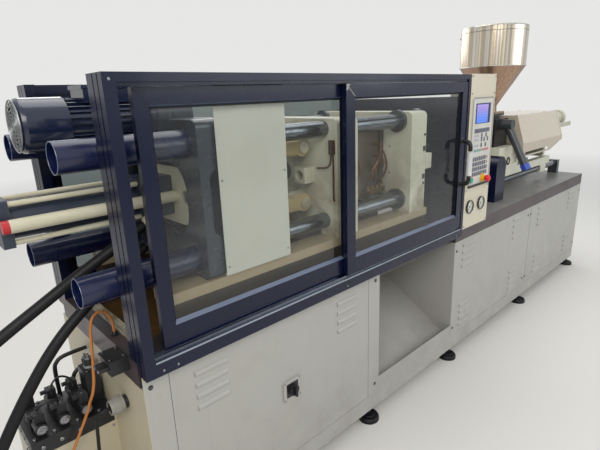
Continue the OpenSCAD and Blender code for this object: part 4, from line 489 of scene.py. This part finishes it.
# ---------- mesh helpers ----------
class Part:
    """Collects simple solids in one mesh, in drawing millimetres, and hands them over as one piece."""

    def __init__(self, name, mat, body="machine_frame", slot=None, bevel=0.0, smooth=True):
        self.bm = bmesh.new()
        self.name, self.mat, self.body, self.slot, self.bevel, self.smooth = name, mat, body, slot, bevel, smooth

    def box(self, lo, hi):
        """A block from corner to corner."""
        for v in bmesh.ops.create_cube(self.bm, size=1)["verts"]:
            v.co = P(*((lo[i] + hi[i]) / 2 + v.co[i] * (hi[i] - lo[i]) for i in range(3)))
        return self

    def cyl(self, a, b, r, n=20):
        a, b = P(*a), P(*b)
        d = b - a
        m = d.to_track_quat("Z", "Y").to_matrix().to_4x4()
        m.translation = (a + b) / 2
        bmesh.ops.create_cone(self.bm, cap_ends=True, segments=n, radius1=r / 1000, radius2=r / 1000,
                              depth=d.length, matrix=m)
        return self

    def lathe(self, profile, a, axis, n=40):
        """Turns a profile of (radius, along) round an axis from a."""
        a = Vector(a)
        axis = Vector(axis).normalized()
        side = axis.cross(Vector(UP))
        if side.length < 0.1:
            side = axis.cross(Vector(RIGHT))
        side.normalize()
        other = axis.cross(side)
        rings = []
        for r, h in profile:
            rings.append([self.bm.verts.new(P(*(a + axis * h + (side * math.cos(q) + other * math.sin(q)) * r)))
                          for q in (2 * math.pi * i / n for i in range(n))] if r > 0 else
                         [self.bm.verts.new(P(*(a + axis * h)))])
        for lo, hi in zip(rings, rings[1:]):
            for i in range(n):
                j = (i + 1) % n
                if len(lo) == 1:
                    self.bm.faces.new((lo[0], hi[j], hi[i]))
                elif len(hi) == 1:
                    self.bm.faces.new((lo[i], lo[j], hi[0]))
                else:
                    self.bm.faces.new((lo[i], lo[j], hi[j], hi[i]))
        return self

    def prism(self, pts, axis, a, b):
        """A polygon pushed along one axis from a to b; pts hold the other two coordinates in order."""
        ends = []
        for s in (a, b):
            row = []
            for p in pts:
                q = list(p)
                q.insert(axis, s)
                row.append(self.bm.verts.new(P(*q)))
            ends.append(row)
        lo, hi = ends
        self.bm.faces.new(lo)
        self.bm.faces.new(list(reversed(hi)))
        for i in range(len(pts)):
            j = (i + 1) % len(pts)
            self.bm.faces.new((lo[i], lo[j], hi[j], hi[i]))
        return self

    def hexa(self, at, axis, r, h):
        """A hexagon head with a small washer."""
        at, axis = Vector(at), Vector(axis).normalized()
        self.cyl(at, at + axis * 1.2, r * 1.25, 18)
        self.cyl(at + axis * 1.2, at + axis * (h + 1.2), r, 6)
        return self

    def socket(self, at, axis, r, h):
        """A cap screw with a hexagon recess."""
        at, axis = Vector(at), Vector(axis).normalized()
        self.lathe([(0, 0), (r, 0), (r, h - 0.6), (r - 0.6, h), (r * 0.55, h), (r * 0.5, h * 0.45), (0, h * 0.45)],
                   at, axis, 14)
        return self

    def ring(self, c, axis, r, w, n=36, m=8):
        """A torus."""
        c, axis = Vector(c), Vector(axis).normalized()
        side = axis.orthogonal().normalized()
        other = axis.cross(side)
        rows = []
        for i in range(n):
            q = 2 * math.pi * i / n
            out = side * math.cos(q) + other * math.sin(q)
            rows.append([self.bm.verts.new(P(*(c + out * (r + w * math.cos(p)) + axis * (w * math.sin(p)))))
                         for p in (2 * math.pi * k / m for k in range(m))])
        for i in range(n):
            for k in range(m):
                self.bm.faces.new((rows[i][k], rows[(i + 1) % n][k], rows[(i + 1) % n][(k + 1) % m],
                                   rows[i][(k + 1) % m]))
        return self

    def tube(self, pts, r, n=10):
        """A round bar or hose along a smooth line through pts."""
        path = smooth_path(pts)
        rings = []
        side = None
        for i, p in enumerate(path):
            d = (path[min(i + 1, len(path) - 1)] - path[max(i - 1, 0)]).normalized()
            if side is None:
                side = d.orthogonal().normalized()
            side = (side - d * side.dot(d)).normalized()
            other = d.cross(side)
            rings.append([self.bm.verts.new(P(*(p + (side * math.cos(q) + other * math.sin(q)) * r)))
                          for q in (2 * math.pi * k / n for k in range(n))])
        for lo, hi in zip(rings, rings[1:]):
            for k in range(n):
                self.bm.faces.new((lo[k], lo[(k + 1) % n], hi[(k + 1) % n], hi[k]))
        self.bm.faces.new(list(reversed(rings[0])))
        self.bm.faces.new(rings[-1])
        return self

    def mesh(self):
        """The mesh as an object of the scene, on no body yet."""
        bmesh.ops.recalc_face_normals(self.bm, faces=self.bm.faces)
        me = bpy.data.meshes.new(self.name)
        self.bm.to_mesh(me)
        self.bm.free()
        me.materials.append(self.mat)
        for p in me.polygons:
            p.use_smooth = self.smooth
        o = bpy.data.objects.new(self.name, me)
        bpy.context.scene.collection.objects.link(o)
        return o

    def done(self):
        o = self.mesh()
        if self.smooth:
            o.modifiers.new("split", "EDGE_SPLIT").split_angle = math.radians(35)
        if self.bevel:
            b = o.modifiers.new("bevel", "BEVEL")
            b.width = self.bevel / 1000
            b.segments = 2
            b.limit_method = "ANGLE"
        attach(o, self.body)
        return o


def smooth_path(pts, steps=5):
    """Points on a smooth line through pts, with a few steps from each one to the next."""
    pts = [Vector(p) for p in pts]
    if len(pts) == 2:
        return pts
    out = []
    for i in range(len(pts) - 1):
        a, b, c, d = pts[max(i - 1, 0)], pts[i], pts[i + 1], pts[min(i + 2, len(pts) - 1)]
        for k in range(steps):
            u = k / steps
            out.append(0.5 * (2 * b + (c - a) * u + (2 * a - 5 * b + 4 * c - d) * u * u
                              + (3 * b - a - 3 * c + d) * u ** 3))
    out.append(pts[-1])
    return out


def screws(name, places, r, h, body="machine_frame"):
    """Cap screws; places holds the seat of each head and the way it points."""
    p = Part(name, STEEL, body, "machined_steel")
    for at, axis in places:
        p.socket(at, axis, r, h)
    p.done()


# ---------- free hoses and cables ----------
CYLINDER_HOSE = [
    (196, 320, 1259.4), (142, 322, 1230.8), (60, 328, 1187), (-38, 338, 1135), (-168, 340, 1066),
    (-298, 340, 997), (-360, 340, 959), (-412, 342, 908), (-447, 347, 845), (-465, 356, 775),
    (-470, 370, 705), (-470, 386, 640), (-464, 402, 596), (-447, 418, 555), (-420, 432, 520),
    (-385, 443, 493), (-344, 449, 476), (-300, 452, 470), (-283.3, 452, 470)]
RETURN_HOSE = [
    (212, 374, 1160.5), (162, 368, 1133), (90, 358, 1092), (20, 348, 1050), (-50, 340, 1004),
    (-120, 338, 948), (-185, 336, 882), (-245, 336, 806), (-301, 338, 725), (-352, 342, 642),
    (-395, 348, 566), (-430, 356, 492), (-450, 366, 420), (-448, 376, 374), (-434, 384, 336),
    (-410, 390, 303), (-378, 394, 280), (-340, 396, 265), (-300, 397, 260), (-283.3, 397, 260)]
SENSOR_CABLE = [
    (27, 300, 893.3), (27, 300, 915), (26, 300, 940), (20, 300, 966), (6, 299, 988),
    (-16, 297, 998), (-38, 292, 988), (-52, 284, 962), (-60, 274, 925), (-68, 262, 870),
    (-76, 253, 820), (-82, 251, 775), (-89, 262, 730), (-97, 282, 690), (-107, 300, 645),
    (-122, 314, 600), (-142, 323, 555), (-164, 328, 510), (-182, 330, 465), (-192, 330, 420),
    (-194, 327, 380), (-188, 321, 340), (-174, 314, 300), (-161, 314, 272), (-152, 322, 254),
    (-150, 336, 250), (-150, 345, 250), (-150, 354.7, 250)]
GLAND_CABLE = [
    (-58.3, 207, 683), (-72, 207, 683), (-90, 209, 675), (-101, 214, 656), (-104, 222, 630),
    (-103, 236, 596), (-101, 252, 556), (-100, 268, 508), (-99, 284, 450), (-99, 296, 390),
    (-100, 303, 340), (-100, 307, 290), (-100, 309, 250), (-100, 315, 222), (-100, 330, 206),
    (-100, 345, 204), (-100, 354.7, 204)]


def free_cord(name, pts, r, mat, node, slot, ends=None):
    """A hose or cable along pts; with ends it is left as a loose mesh on no body, else it rides the frame."""
    part = Part(name, mat, slot=slot).tube(pts, r, 16)
    if ends:
        o = part.mesh()
        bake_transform(o)
    else:
        o = part.done()
    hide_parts(node)


free_cord("cylinder_hose_rubber", CYLINDER_HOSE, 19, RUBBER, "cylinder_hose", "rubber_black",
          ("tail_platen", "machine_frame"))
free_cord("return_hose_rubber", RETURN_HOSE, 19, RUBBER, "return_hose", "rubber_black",
          ("tail_platen", "machine_frame"))
free_cord("sensor_cable_sheath", SENSOR_CABLE, 5, ORANGE, "sensor_cable", "orange_rubber")
free_cord("gland_cable_sheath", GLAND_CABLE, 6, RUBBER, "gland_cable", "rubber_black")

# ---------- controller and column ----------
MID, FACE = 2115.5, -8
BUTTON_Z, GAUGE_Z = 1178, 1020
# A lighter navy for the glazing beads and the tube rims: a painted highlight for the glint of light on those edges.
BEAD_HIGHLIGHT = paint("glazing_bead", "59647a", rough=0.22, dirt=0.05, streaks=0.02, coat=0.6, cloud=0.05)

p = Part("controller_border", FRAME_GREY, slot="grey_plastic", bevel=0.6)
p.box((MID - 128, FACE - 1.5, 1151), (MID - 121, FACE + 0.2, 1631))
p.box((MID + 121, FACE - 1.5, 1151), (MID + 128, FACE + 0.2, 1631))
p.box((MID - 118, FACE - 1.5, 1634), (MID + 118, FACE + 0.2, 1641.8))
for sx in (-1, 1):
    p.tube([(MID + sx * 124.5, FACE, 1628), (MID + sx * 123, FACE, 1634), (MID + sx * 116, FACE, 1638)], 1.5, 8)
p.done()
Part("controller_ledge", BLACK, slot="black_plastic", bevel=1.5).box(
    (MID - 129.5, FACE - 9.5, 1138.5), (MID + 129.5, FACE - 0.1, 1149)).done()
Part("screen_bezel", BEZEL, slot="black_plastic", bevel=0.3).box(
    (MID - 91, FACE + 2.6, 1497), (MID + 91, FACE + 3.9, 1608)).done()
Part("screen_lit", SCREEN, slot="clear_glass").box((2043, FACE + 2.1, 1499.5), (2179, FACE + 2.7, 1602)).done()

# height of each row against the lowest screen edge, keys that would fill it, and the places that hold one
KEY_ROWS = [(-46, 9, range(9)), (-74, 9, (0, 1, 2, 4, 6.6)), (-98, 9, (0, 1, 2, 4, 5.6, 7.6)),
            (-130, 9, (0, 1, 2, 4, 6.6)), (-158, 9, range(9)), (-206, 8, range(8)), (-235, 8, range(8)),
            (-264, 8, range(8)), (-293, 8, range(8))]
caps = {n: Part("keys_" + n, m, slot="grey_plastic", smooth=False)
        for n, m in (("dark", KEY_DARK), ("pale", KEY_PALE), ("teal", KEY_TEAL), ("red", KEY_RED))}
film = Part("key_print", KEY_DARK, slot="grey_plastic", smooth=False)
marks = Part("key_marks", KEY_PALE, slot="grey_plastic", smooth=False)
for r, (dz, places, used) in enumerate(KEY_ROWS):
    for i in used:
        kind = "dark"
        if r in (1, 2, 3) and i < 3:
            kind = "pale"
        elif r == 4:
            kind = "teal" if i < 5 else "red"
        elif r in (5, 6) and i == 7:
            kind = "red"
        x = MID - 89.5 + i * 164 / (places - 1)
        z = 1496 + dz
        caps[kind].box((x + 0.8, FACE - 1.75, z + 0.8), (x + 14.2, FACE - 1.15, z + 14.2))
        if kind == "dark":
            film.box((x - 1.8, FACE - 0.3, z - 4.8), (x + 16.8, FACE + 0.1, z + 18.8))
        if kind != "pale":
            marks.box((x + 4, FACE - 1.9, z + 6.4), (x + 11, FACE - 1.7, z + 8.4))
for c in caps.values():
    c.done()
film.done()
marks.done()

Part("start_collar", CHROME, slot="machined_steel").lathe(
    [(14.4, 0), (19, 0), (18.4, 2.4), (15.2, 2.8), (14.4, 0)], (2016, FACE - 3, BUTTON_Z), FRONT, 32).done()
Part("stop_collar", YELLOW, slot="red_plastic").lathe(
    [(11, 0), (25.6, 0), (25.6, 1.6), (19, 2.2), (17.5, 6), (16, 19), (11, 19), (11, 0)],
    (2150, FACE - 3, BUTTON_Z), FRONT, 36).done()

for tag, cx in (("a", 2028.5), ("b", 2168.5)):
    Part("dial_" + tag, DIAL, slot="pale_paint").cyl((cx, -4.95, GAUGE_Z), (cx, -5.1, GAUGE_Z), 35.9, 48).done()
    p = Part("dial_marks_" + tag, BLACK, slot="black_plastic", smooth=False)
    for k in range(31):
        q = math.radians(225 - 9 * k)
        inner, half = (23.5, 0.75) if k % 5 == 0 else (27.5, 0.4)
        cs, sn = math.cos(q), math.sin(q)
        p.prism([(cx + cs * rr - sn * w, GAUGE_Z + sn * rr + cs * w)
                 for rr, w in ((inner, half), (32, half), (32, -half), (inner, -half))], 1, -5.2, -5.0)
    p.ring((cx, -5.1, GAUGE_Z), REAR, 32.6, 0.35, 48, 4)
    p.done()
    Part("dial_lens_" + tag, LENS, slot="clear_glass").cyl(
        (cx, -12.4, GAUGE_Z), (cx, -12.9, GAUGE_Z), 35.9, 48).done()
    Part("gauge_ring_" + tag, CHROME, slot="machined_steel").ring((cx, -13.6, GAUGE_Z), REAR, 37.6, 1.0, 48).done()

screws("column_screws", [((x, -2, z), FRONT) for x in (1979, 2252) for z in (905, 1122, 1662, 1754)], 4.6, 2.6)

# ---------- door handle ----------
HANDLE_X = 1902
p = Part("door_bow", BLACK, "operator_door", "black_plastic")
for z0, s in ((1177, 1), (1415, -1)):
    bend = ((4, 0), (-18, 0), (-36, 5), (-47, 17), (-50, 32), (-50, 52))
    p.tube([(HANDLE_X, y, z0 + s * dz) for y, dz in bend], 11.8, 18)
    p.lathe([(0, 0), (19, 0), (19, 3), (16, 5), (11, 6), (0, 6)], (HANDLE_X, 3, z0), FRONT, 30)
bow = p.done()
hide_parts("door_handle")
Part("door_grip", GREY_GRIP, "operator_door", "grey_plastic").lathe(
    [(0, 0), (11.5, 0), (12.8, 1.5), (12.8, 126.5), (11.5, 128), (0, 128)], (HANDLE_X, -50, 1227), UP, 28).done()


# ---------- guard: beads, gaskets, mitres, tracks, screws ----------
def flip(y, rear, middle=433):
    """The depth y on the front, or its mirror image about the middle on the back."""
    return 2 * middle - y if rear else y


def strip(part, x0, x1, y0, y1, z0, z1, rear):
    """A box on the front guard, or its mirror image on the back."""
    lo, hi = sorted((flip(y0, rear), flip(y1, rear)))
    part.box((x0, lo, z0), (x1, hi, z1))


def glazing(tag, body, outer, inner, y_front, y_pane, rear=False):
    """Sloped beads below and above a pane, in the lighter navy of a painted highlight, gaskets at its sides and the
    mitre lines of its frame.
    """
    foot, head, side, lip, line, gap = 12, 6, 6, 5, 0.7, 0.5
    x0, x1, z0, z1 = inner
    front, back = flip(y_front + 0.4, rear), flip(y_pane - 0.2, rear)
    bead = Part("glazing_bead_" + tag, BEAD_HIGHLIGHT, body, "navy_paint", smooth=False)
    bead.prism([(front, z0), (back, z0), (back, z0 + foot)], 0, x0 + gap, x1 - gap)
    bead.prism([(back, z1), (front, z1), (back, z1 - head)], 0, x0 + gap, x1 - gap)
    bead.done()
    gasket = Part("glazing_gasket_" + tag, RUBBER, body, "rubber_black", smooth=False)
    for ax, bx, az, bz in ((x0, x0 + side, z0, z1), (x1 - side, x1, z0, z1), (x0, x1, z1 - head - lip, z1 - head)):
        strip(gasket, ax, bx, y_pane - 0.2, y_pane - 5, az, bz, rear)
    lo, hi = sorted((flip(y_front - 0.12, rear), flip(y_front, rear)))
    for i in (0, 1):
        for k in (2, 3):
            a, b = Vector((outer[i], outer[k])), Vector((inner[i], inner[k]))
            d = (b - a).normalized() * line
            gasket.prism([(a.x - d.y, a.y + d.x), (b.x - d.y, b.y + d.x), (b.x + d.y, b.y - d.x),
                          (a.x + d.y, a.y - d.x)], 1, lo, hi)
    gasket.done()


# outline and opening of each frame, as x0, x1, z0, z1
DOOR_OUT, DOOR_IN = (945, 1942.7, 913.3, 1725), (1000, 1887.7, 987.3, 1675)
WIN_OUT, WIN_IN = (87, 1001, 913.3, 1725), (133, 955, 987.3, 1675)
glazing("door", "operator_door", DOOR_OUT, DOOR_IN, 3, 18)
glazing("window", "left_window", WIN_OUT, WIN_IN, 31, 44)
glazing("gate", "rear_gate", DOOR_OUT, DOOR_IN, 3, 18, rear=True)
glazing("rear", "machine_frame", (36, 939, 913, 1727), (82, 893, 987, 1677), 31, 44, rear=True)
for tag, rear in (("front", False), ("back", True)):
    p = Part("guide_tracks_" + tag, ALU, slot="machined_steel", smooth=False)
    for yc in (15, 42):
        strip(p, 36.5, 1942.5, yc - 2.5, yc - 2.05, 905.1, 912.9, rear)
        strip(p, 36.5, 1942.5, yc - 2, yc + 2, 912.95, 913.1, rear)
    # A pale aluminium strip along the top front edge of the bottom rail: a painted edge highlight.
    strip(p, 37, 1942, -0.7, 0.2, 898.5, 904.9, rear)
    p.done()
screws("guard_screws", [((x, 0, z), FRONT) for x, z in (
    (60, 869), (110, 869), (940, 869), (1900, 869), (18, 1745), (1955, 1745), (1955, 1300), (1955, 900))]
       + [((24, 866, z), REAR) for z in (900, 1250, 1600)], 4.2, 2.4)
screws("sheet_guard_screws", [((x, 60, z), FRONT) for z in (1110, 1420, 1720) for x in (374, 654)], 4, 2)

weld = Part("door_weld", FRAME_GREY, "operator_door", "machined_steel", smooth=False)
weld.prism([(946, 1722), (948, 1724.5), (1001, 1677), (999, 1674.5)], 1, 2.5, 3)
weld.prism([(946, 1700), (950, 1724), (972, 1724), (962, 1716), (956, 1700)], 1, 2.6, 3)
weld.done()
p = Part("guard_end_sheets", NAVY, slot="navy_paint", bevel=0.5)
for y in (62, 604):
    p.box((1948, y, 894), (1951, y + 200, 1650))
p.box((1948.3, 260, 1500), (1950.7, 606, 1649))
p.done()

# ---------- cabinets ----------
locks = Part("panel_locks", BLACK, slot="black_plastic")
slots = Part("lock_slots", STEEL, slot="machined_steel", smooth=False)
for x in (24, 1189, 1990, 3086, 3138, 4290):
    for z in (806 if x < 1300 else 742, 226):
        locks.lathe([(0, 0), (8.5, 0), (8.5, 1.4), (7, 2.2), (0, 2.2)], (x, 37, z), FRONT, 20)
        slots.box((x - 5.5, 34.5, z - 1), (x + 5.5, 34.9, z + 1))
locks.done()
slots.done()
# Black strips in the seams between the cabinet panels: painted shadow in the gaps.
p = Part("cabinet_seam_shadow", BLACK, slot="black_plastic", smooth=False)
p.box((3109.8, 37.6, 172), (3118.2, 38.8, 801))
for x in (88, 1134):
    p.box((x - 0.2, 36.8, 172), (x + 1.4, 37.2, 841))
p.done()
# closes the slit between the rear panels and the brown top
Part("rear_ledge_strip", SHADED_CREAM, slot="cream_paint", smooth=False).box((1224, 806.5, 796.5), (1965, 840, 800)).done()
Part("isolator_plate", IRON, slot="black_iron", bevel=1).box((583, 27.9, 465), (647, 29.2, 529)).done()
screws("isolator_screws", [((615 + x, 29, 497 + z), FRONT) for x in (-41, 41) for z in (-41, 41)], 3.4, 2)

# ---------- hydraulics at the clamp end ----------
plugs = Part("valve_connectors", CONNECTOR, slot="black_plastic", bevel=1.5)
nuts = Part("valve_nuts", STEEL, slot="machined_steel")
for vx in (-240, -165, -90):
    for s in (-1, 1):
        cy = VALVE_Y + s * 62
        plugs.box((vx - 15.6, cy - 17.6, 627), (vx + 15.6, cy + 17.6, 661))
        nuts.lathe([(0, 0), (17, 0), (17, 3), (10, 5), (10, 9), (4, 9), (4, 12), (0, 12)],
                   (vx, VALVE_Y + s * 95, 608), (0, s, 0), 18)
        nuts.socket((vx, cy, 661), UP, 3.4, 3)
    for dx in (-17, 17):
        for dy in (-27, 27):
            nuts.socket((vx + dx, VALVE_Y + dy, 632), UP, 4.2, 5)
for x in (-268, -205, -128, -52, -18):
    for y in (368, 588):
        nuts.socket((x, y, 582), UP, 6, 7)
for z0, y0, r in ((763, 445, 17), (747, 485, 13)):
    nuts.cyl((-37, y0, z0), (-37, y0, z0 + 7), r * 0.8, 6)
    nuts.cyl((-37, y0, z0 + 7), (-37, y0, z0 + 20), 4.5, 14)
    nuts.cyl((-37, y0, z0 - 32), (-37, y0, z0 - 22), r * 1.2, 6)
for x in (-52, -22):
    for y in (433, 497):
        nuts.socket((x, y, 718), UP, 4.2, 5)
for y in (132, 197):
    for x in (-56, -12):
        nuts.socket((x, y, 899), UP, 4, 4)
for y in (140, 172):
    nuts.cyl((-92, y, 872), (-96, y, 872), 5, 16)
plugs.done()
nuts.done()
p = Part("manifold_skirt", IRON, slot="black_iron", bevel=1)
p.box((-284.6, 353.4, 524), (-6, 355.1, 581.5))
p.box((-284.4, 353.8, 524.3), (-282.7, 598, 581.2))
p.done()
screws("manifold_plugs", [((x, 353.4, 553), FRONT) for x in (-250, -190, -128, -70)]
       + [((-284.6, y, 553), LEFT) for y in (400, 455, 510, 565)], 7, 4)
p = Part("hydraulic_pipes", IRON, slot="black_iron")
p.tube([(-70, 570, 580), (-70, 570, 630), (-62, 570, 655), (-40, 570, 668), (1, 570, 670)], 8, 14)
p.tube([(-125, 582, 580), (-125, 582, 690), (-115, 582, 722), (-85, 582, 738), (1, 582, 740)], 8, 14)
p.tube([(-37, 470, 700), (-12, 470, 700), (1, 470, 700)], 9, 14)
p.tube([(-240, 425, 640), (-236, 412, 668), (-205, 404, 684), (-172, 408, 672), (-165, 424, 640)], 4, 10)
p.tube([(-165, 506, 640), (-160, 520, 672), (-128, 528, 690), (-96, 520, 672), (-90, 505, 640)], 4, 10)
p.done()
p = Part("hose_ferrules", STEEL, slot="machined_steel")
for y, z in ((452, 470), (397, 260)):
    p.cyl((-283, y, z), (-287, y, z), 33, 24)
    p.cyl((-287, y, z), (-305, y, z), 27, 6)
    p.cyl((-305, y, z), (-322, y, z + 0.6), 22.5, 24)
p.done()
p = Part("cable_glands", BLACK, slot="black_plastic")
for x, z, r in ((-150, 250, 5.2), (-100, 204, 6.2)):
    p.lathe([(r, 0), (r + 9, 0), (r + 9, 2), (r + 6.5, 2.5), (r + 6.5, 9), (r + 4.5, 13), (r + 0.1, 14), (r, 0)],
            (x, 355, z), FRONT, 12)
p.lathe([(5.2, 0), (14, 0), (14, 2), (11.5, 2.5), (11.5, 9), (9, 13), (5.3, 14), (5.2, 0)], (27, 300, 893), UP, 12)
p.done()
Part("gland_sleeve", GLAND, slot="grey_plastic").lathe(
    [(22.1, -60), (25, -60), (26.5, -57), (26.5, -46), (29.6, -44.5), (30.4, -42), (30.4, -34), (31.6, -33),
     (31.6, -26), (30.4, -25), (30.4, -16), (27, -13), (22.1, -13), (22.1, -60)], (0, 207, 683), RIGHT, 36).done()
screws("tank_screws", [((x, 355, z), FRONT) for x in (-270, -14) for z in (104, 320, 505)], 4, 2.4)

p = Part("deck_channel", CREAM_CLEAN, slot="cream_paint", smooth=False)
p.prism([(46, 893.1), (78, 893.1), (78, 907), (76, 907), (76, 895), (48, 895), (48, 907), (46, 907)], 1, 216, 640)
p.done()

# ---------- clamp unit ----------
# rims of the tube ends in the lighter bead navy: a painted highlight
p = Part("tube_rims", BEAD_HIGHLIGHT, "tail_platen", "navy_paint")
for y in (155, 677):
    for z in (1141, 1545):
        p.ring((-107, y, z), RIGHT, 46.1, 1.4, 48)
p.done()
p = Part("fan_guard_wires", STEEL, "tail_platen", "machined_steel")
for r in (12, 24, 36, 48, 60, 71):
    p.ring((-129, CLAMP_Y, MOTOR_Z), RIGHT, r, 1.3, 40, 6)
p.ring((-128, CLAMP_Y, MOTOR_Z), RIGHT, 79, 2.6, 56)
for k in range(8):
    q = math.radians(45 * k + 10)
    c, s = math.cos(q), math.sin(q)
    p.cyl((-127.6, CLAMP_Y + c * 10, MOTOR_Z + s * 10), (-127.6, CLAMP_Y + c * 78, MOTOR_Z + s * 78), 1.5, 8)
p.lathe([(0, 0), (11, 0), (11, 1.6), (0, 2.2)], (-128.6, CLAMP_Y, MOTOR_Z), LEFT, 24)
p.done()
p = Part("platen_bolts", DARK, slot="dark_steel")
for y in (120, 712):
    for z in (1120, 1566):
        p.hexa((1655, y, z), RIGHT, 12, 9)
for z in (1470, 1216):
    p.socket((1640, 73, z), FRONT, 7, 4)
p.done()
# Thin black patches on the platen face for two notches: painted shade inside them.
p = Part("platen_notch_shadows", BLACK, slot="black_plastic", smooth=False)
for z in (1398, 1252):
    p.box((1628, 72.4, z - 13), (1652, 73.2, z + 13))
p.done()


def mould_water(tag, body, x, x0, x1):
    """Nipples at x, a brass water block from x0 to x1 and rigid copper pipes, in front of one mould half."""
    nip = Part("mould_nipples_" + tag, BRASS, body, "dark_steel")
    for z in (1253, 1313, 1373, 1433):
        nip.cyl((x, 245, z), (x, 240, z), 12, 6)
        nip.cyl((x, 240, z), (x, 226, z), 8.5, 16)
        nip.cyl((x, 230, z), (x, 224, z), 10.5, 16)
    nip.box((x0, 216, 1182), (x1, 246, 1206))
    ports = [x0 + 18 + k * (x1 - x0 - 36) / 3 for k in range(4)]
    for b in ports:
        nip.cyl((b, 231, 1206), (b, 231, 1218), 9, 6)
        nip.cyl((b, 216, 1194), (b, 208, 1194), 8, 6)
    nip.done()
    pipe = Part("mould_pipes_" + tag, COPPER, body, "dark_steel")
    b0, b1, b2, b3 = ports
    for r, n, pts in (
            (6, 12, [(x, 226, 1313), (x, 205, 1313), (x, 189, 1322), (x, 184, 1343), (x, 189, 1364), (x, 205, 1373),
                     (x, 226, 1373)]),
            (6, 12, [(x, 226, 1433), (x, 204, 1433), (x - 10, 190, 1426), (x - 26, 186, 1404), (x - 34, 190, 1360),
                     (b0 - 2, 204, 1300), (b0, 224, 1250), (b0, 231, 1216)]),
            (6, 12, [(x, 226, 1253), (x, 206, 1253), (x + 4, 196, 1246), (b2, 206, 1234), (b2, 226, 1226),
                     (b2, 231, 1214)]),
            (5, 10, [(b3, 231, 1214), (b3, 228, 1240), (b3 + 3, 214, 1270), (b3 + 2, 200, 1300),
                     (b3 - 2, 196, 1336), (b3 - 8, 204, 1380), (b3 - 12, 226, 1412), (b3 - 12, 246, 1420)]),
            (5, 10, [(b1, 231, 1214), (b1 - 2, 222, 1236), (b1 - 6, 206, 1262), (b1 - 8, 202, 1290),
                     (b1 - 6, 216, 1322), (b1 - 4, 246, 1334)])):
        pipe.tube(pts, r, n)
    pipe.done()


mould_water("fixed", "machine_frame", 1439, 1352, 1500)
mould_water("moving", "moving_platen", 1228.75, 1132, 1280)
p = Part("platen_grease_pipes", COPPER, "moving_platen", "dark_steel")
p.box((951, 84, 1440), (964.5, 112, 1500))
p.tube([(957, 91, 1440), (957, 90, 1400), (957, 90, 1262), (960, 91, 1242), (967, 92, 1238)], 4, 8)
p.tube([(957, 104, 1440), (957, 106, 1408), (957, 124, 1384), (957, 176, 1376), (960, 190, 1374), (967, 192, 1374)],
       4, 8)
p.done()
p = Part("toggle_pin_caps", STEEL, "tail_platen", "machined_steel")
for z in (1468, 1218):
    for y, t in ((235, -3), (597, 3)):
        p.cyl((483, y, z), (483, y + t, z), 16, 24)
p.done()

# ---------- injection unit ----------
HOPPER_X, FIRST_BAND, BAND_PITCH = 3106, 1900, 185
# A black ring at the seam under the lid's edge: painted shadow of the overhanging lid.
Part("lid_shadow_line", BLACK, "hopper_lid", "black_plastic").ring((HOPPER_X, CLAMP_Y, 2082), UP, 232.9, 1.5, 96, 6).done()
Part("lid_bead", CHROME, "hopper_lid", "stainless").ring((HOPPER_X, CLAMP_Y, 2114), UP, 231.2, 3.0, 96).done()
Part("hopper_rim", CHROME, "carriage", "stainless").ring((HOPPER_X, CLAMP_Y, 1842), UP, 234.6, 2.2, 96).done()
Part("saddle_ring", RUBBER, "carriage", "rubber_black").ring((3112, 236, 1141), REAR, 25, 5.5, 40, 10).done()
p = Part("cover_rims", COVER, "carriage", "cream_paint", smooth=False)
for x0, x1, low in ((3246, 3272, 1156), (4088, 4112, 1226)):
    foot = 181 + 4 * (low - 1156) / 106
    for rear in (False, True):
        edge = ((250, 1477), (185, 1262), (foot, low), (foot - 1.6, low), (183.4, 1262.4), (248.6, 1477.8))
        p.prism([(flip(y, rear, CLAMP_Y), z) for y, z in edge], 0, x0, x1)
p.done()
screws("cover_screws", [((x, y, 1477), UP) for x in (3262, 3560, 3830, 4098) for y in (262, 570)], 5, 3, "carriage")
Part("cover_slot_rim", STEEL, "carriage", "machined_steel").tube(
    [(3300, 179.6, 1171), (3540, 179.6, 1170.6), (3770, 179.6, 1171)], 1.2, 8).done()
p = Part("cylinder_end_bolts", STEEL, "carriage", "machined_steel")
for cy, cz in ((330, 1395), (502, 1291)):
    for k in range(6):
        q = math.radians(60 * k + 20)
        p.hexa((4391.9, cy + 62 * math.cos(q), cz + 62 * math.sin(q)), RIGHT, 6, 5)
p.done()
p = Part("band_leads", STEEL, "carriage", "band_steel")
for k in range(6):
    x = FIRST_BAND + k * BAND_PITCH
    p.tube([(x, CLAMP_Y, 1438), (x, CLAMP_Y, 1446), (x + 10, CLAMP_Y, 1452), (x + 26, CLAMP_Y, 1452)], 4, 10)
p.done()
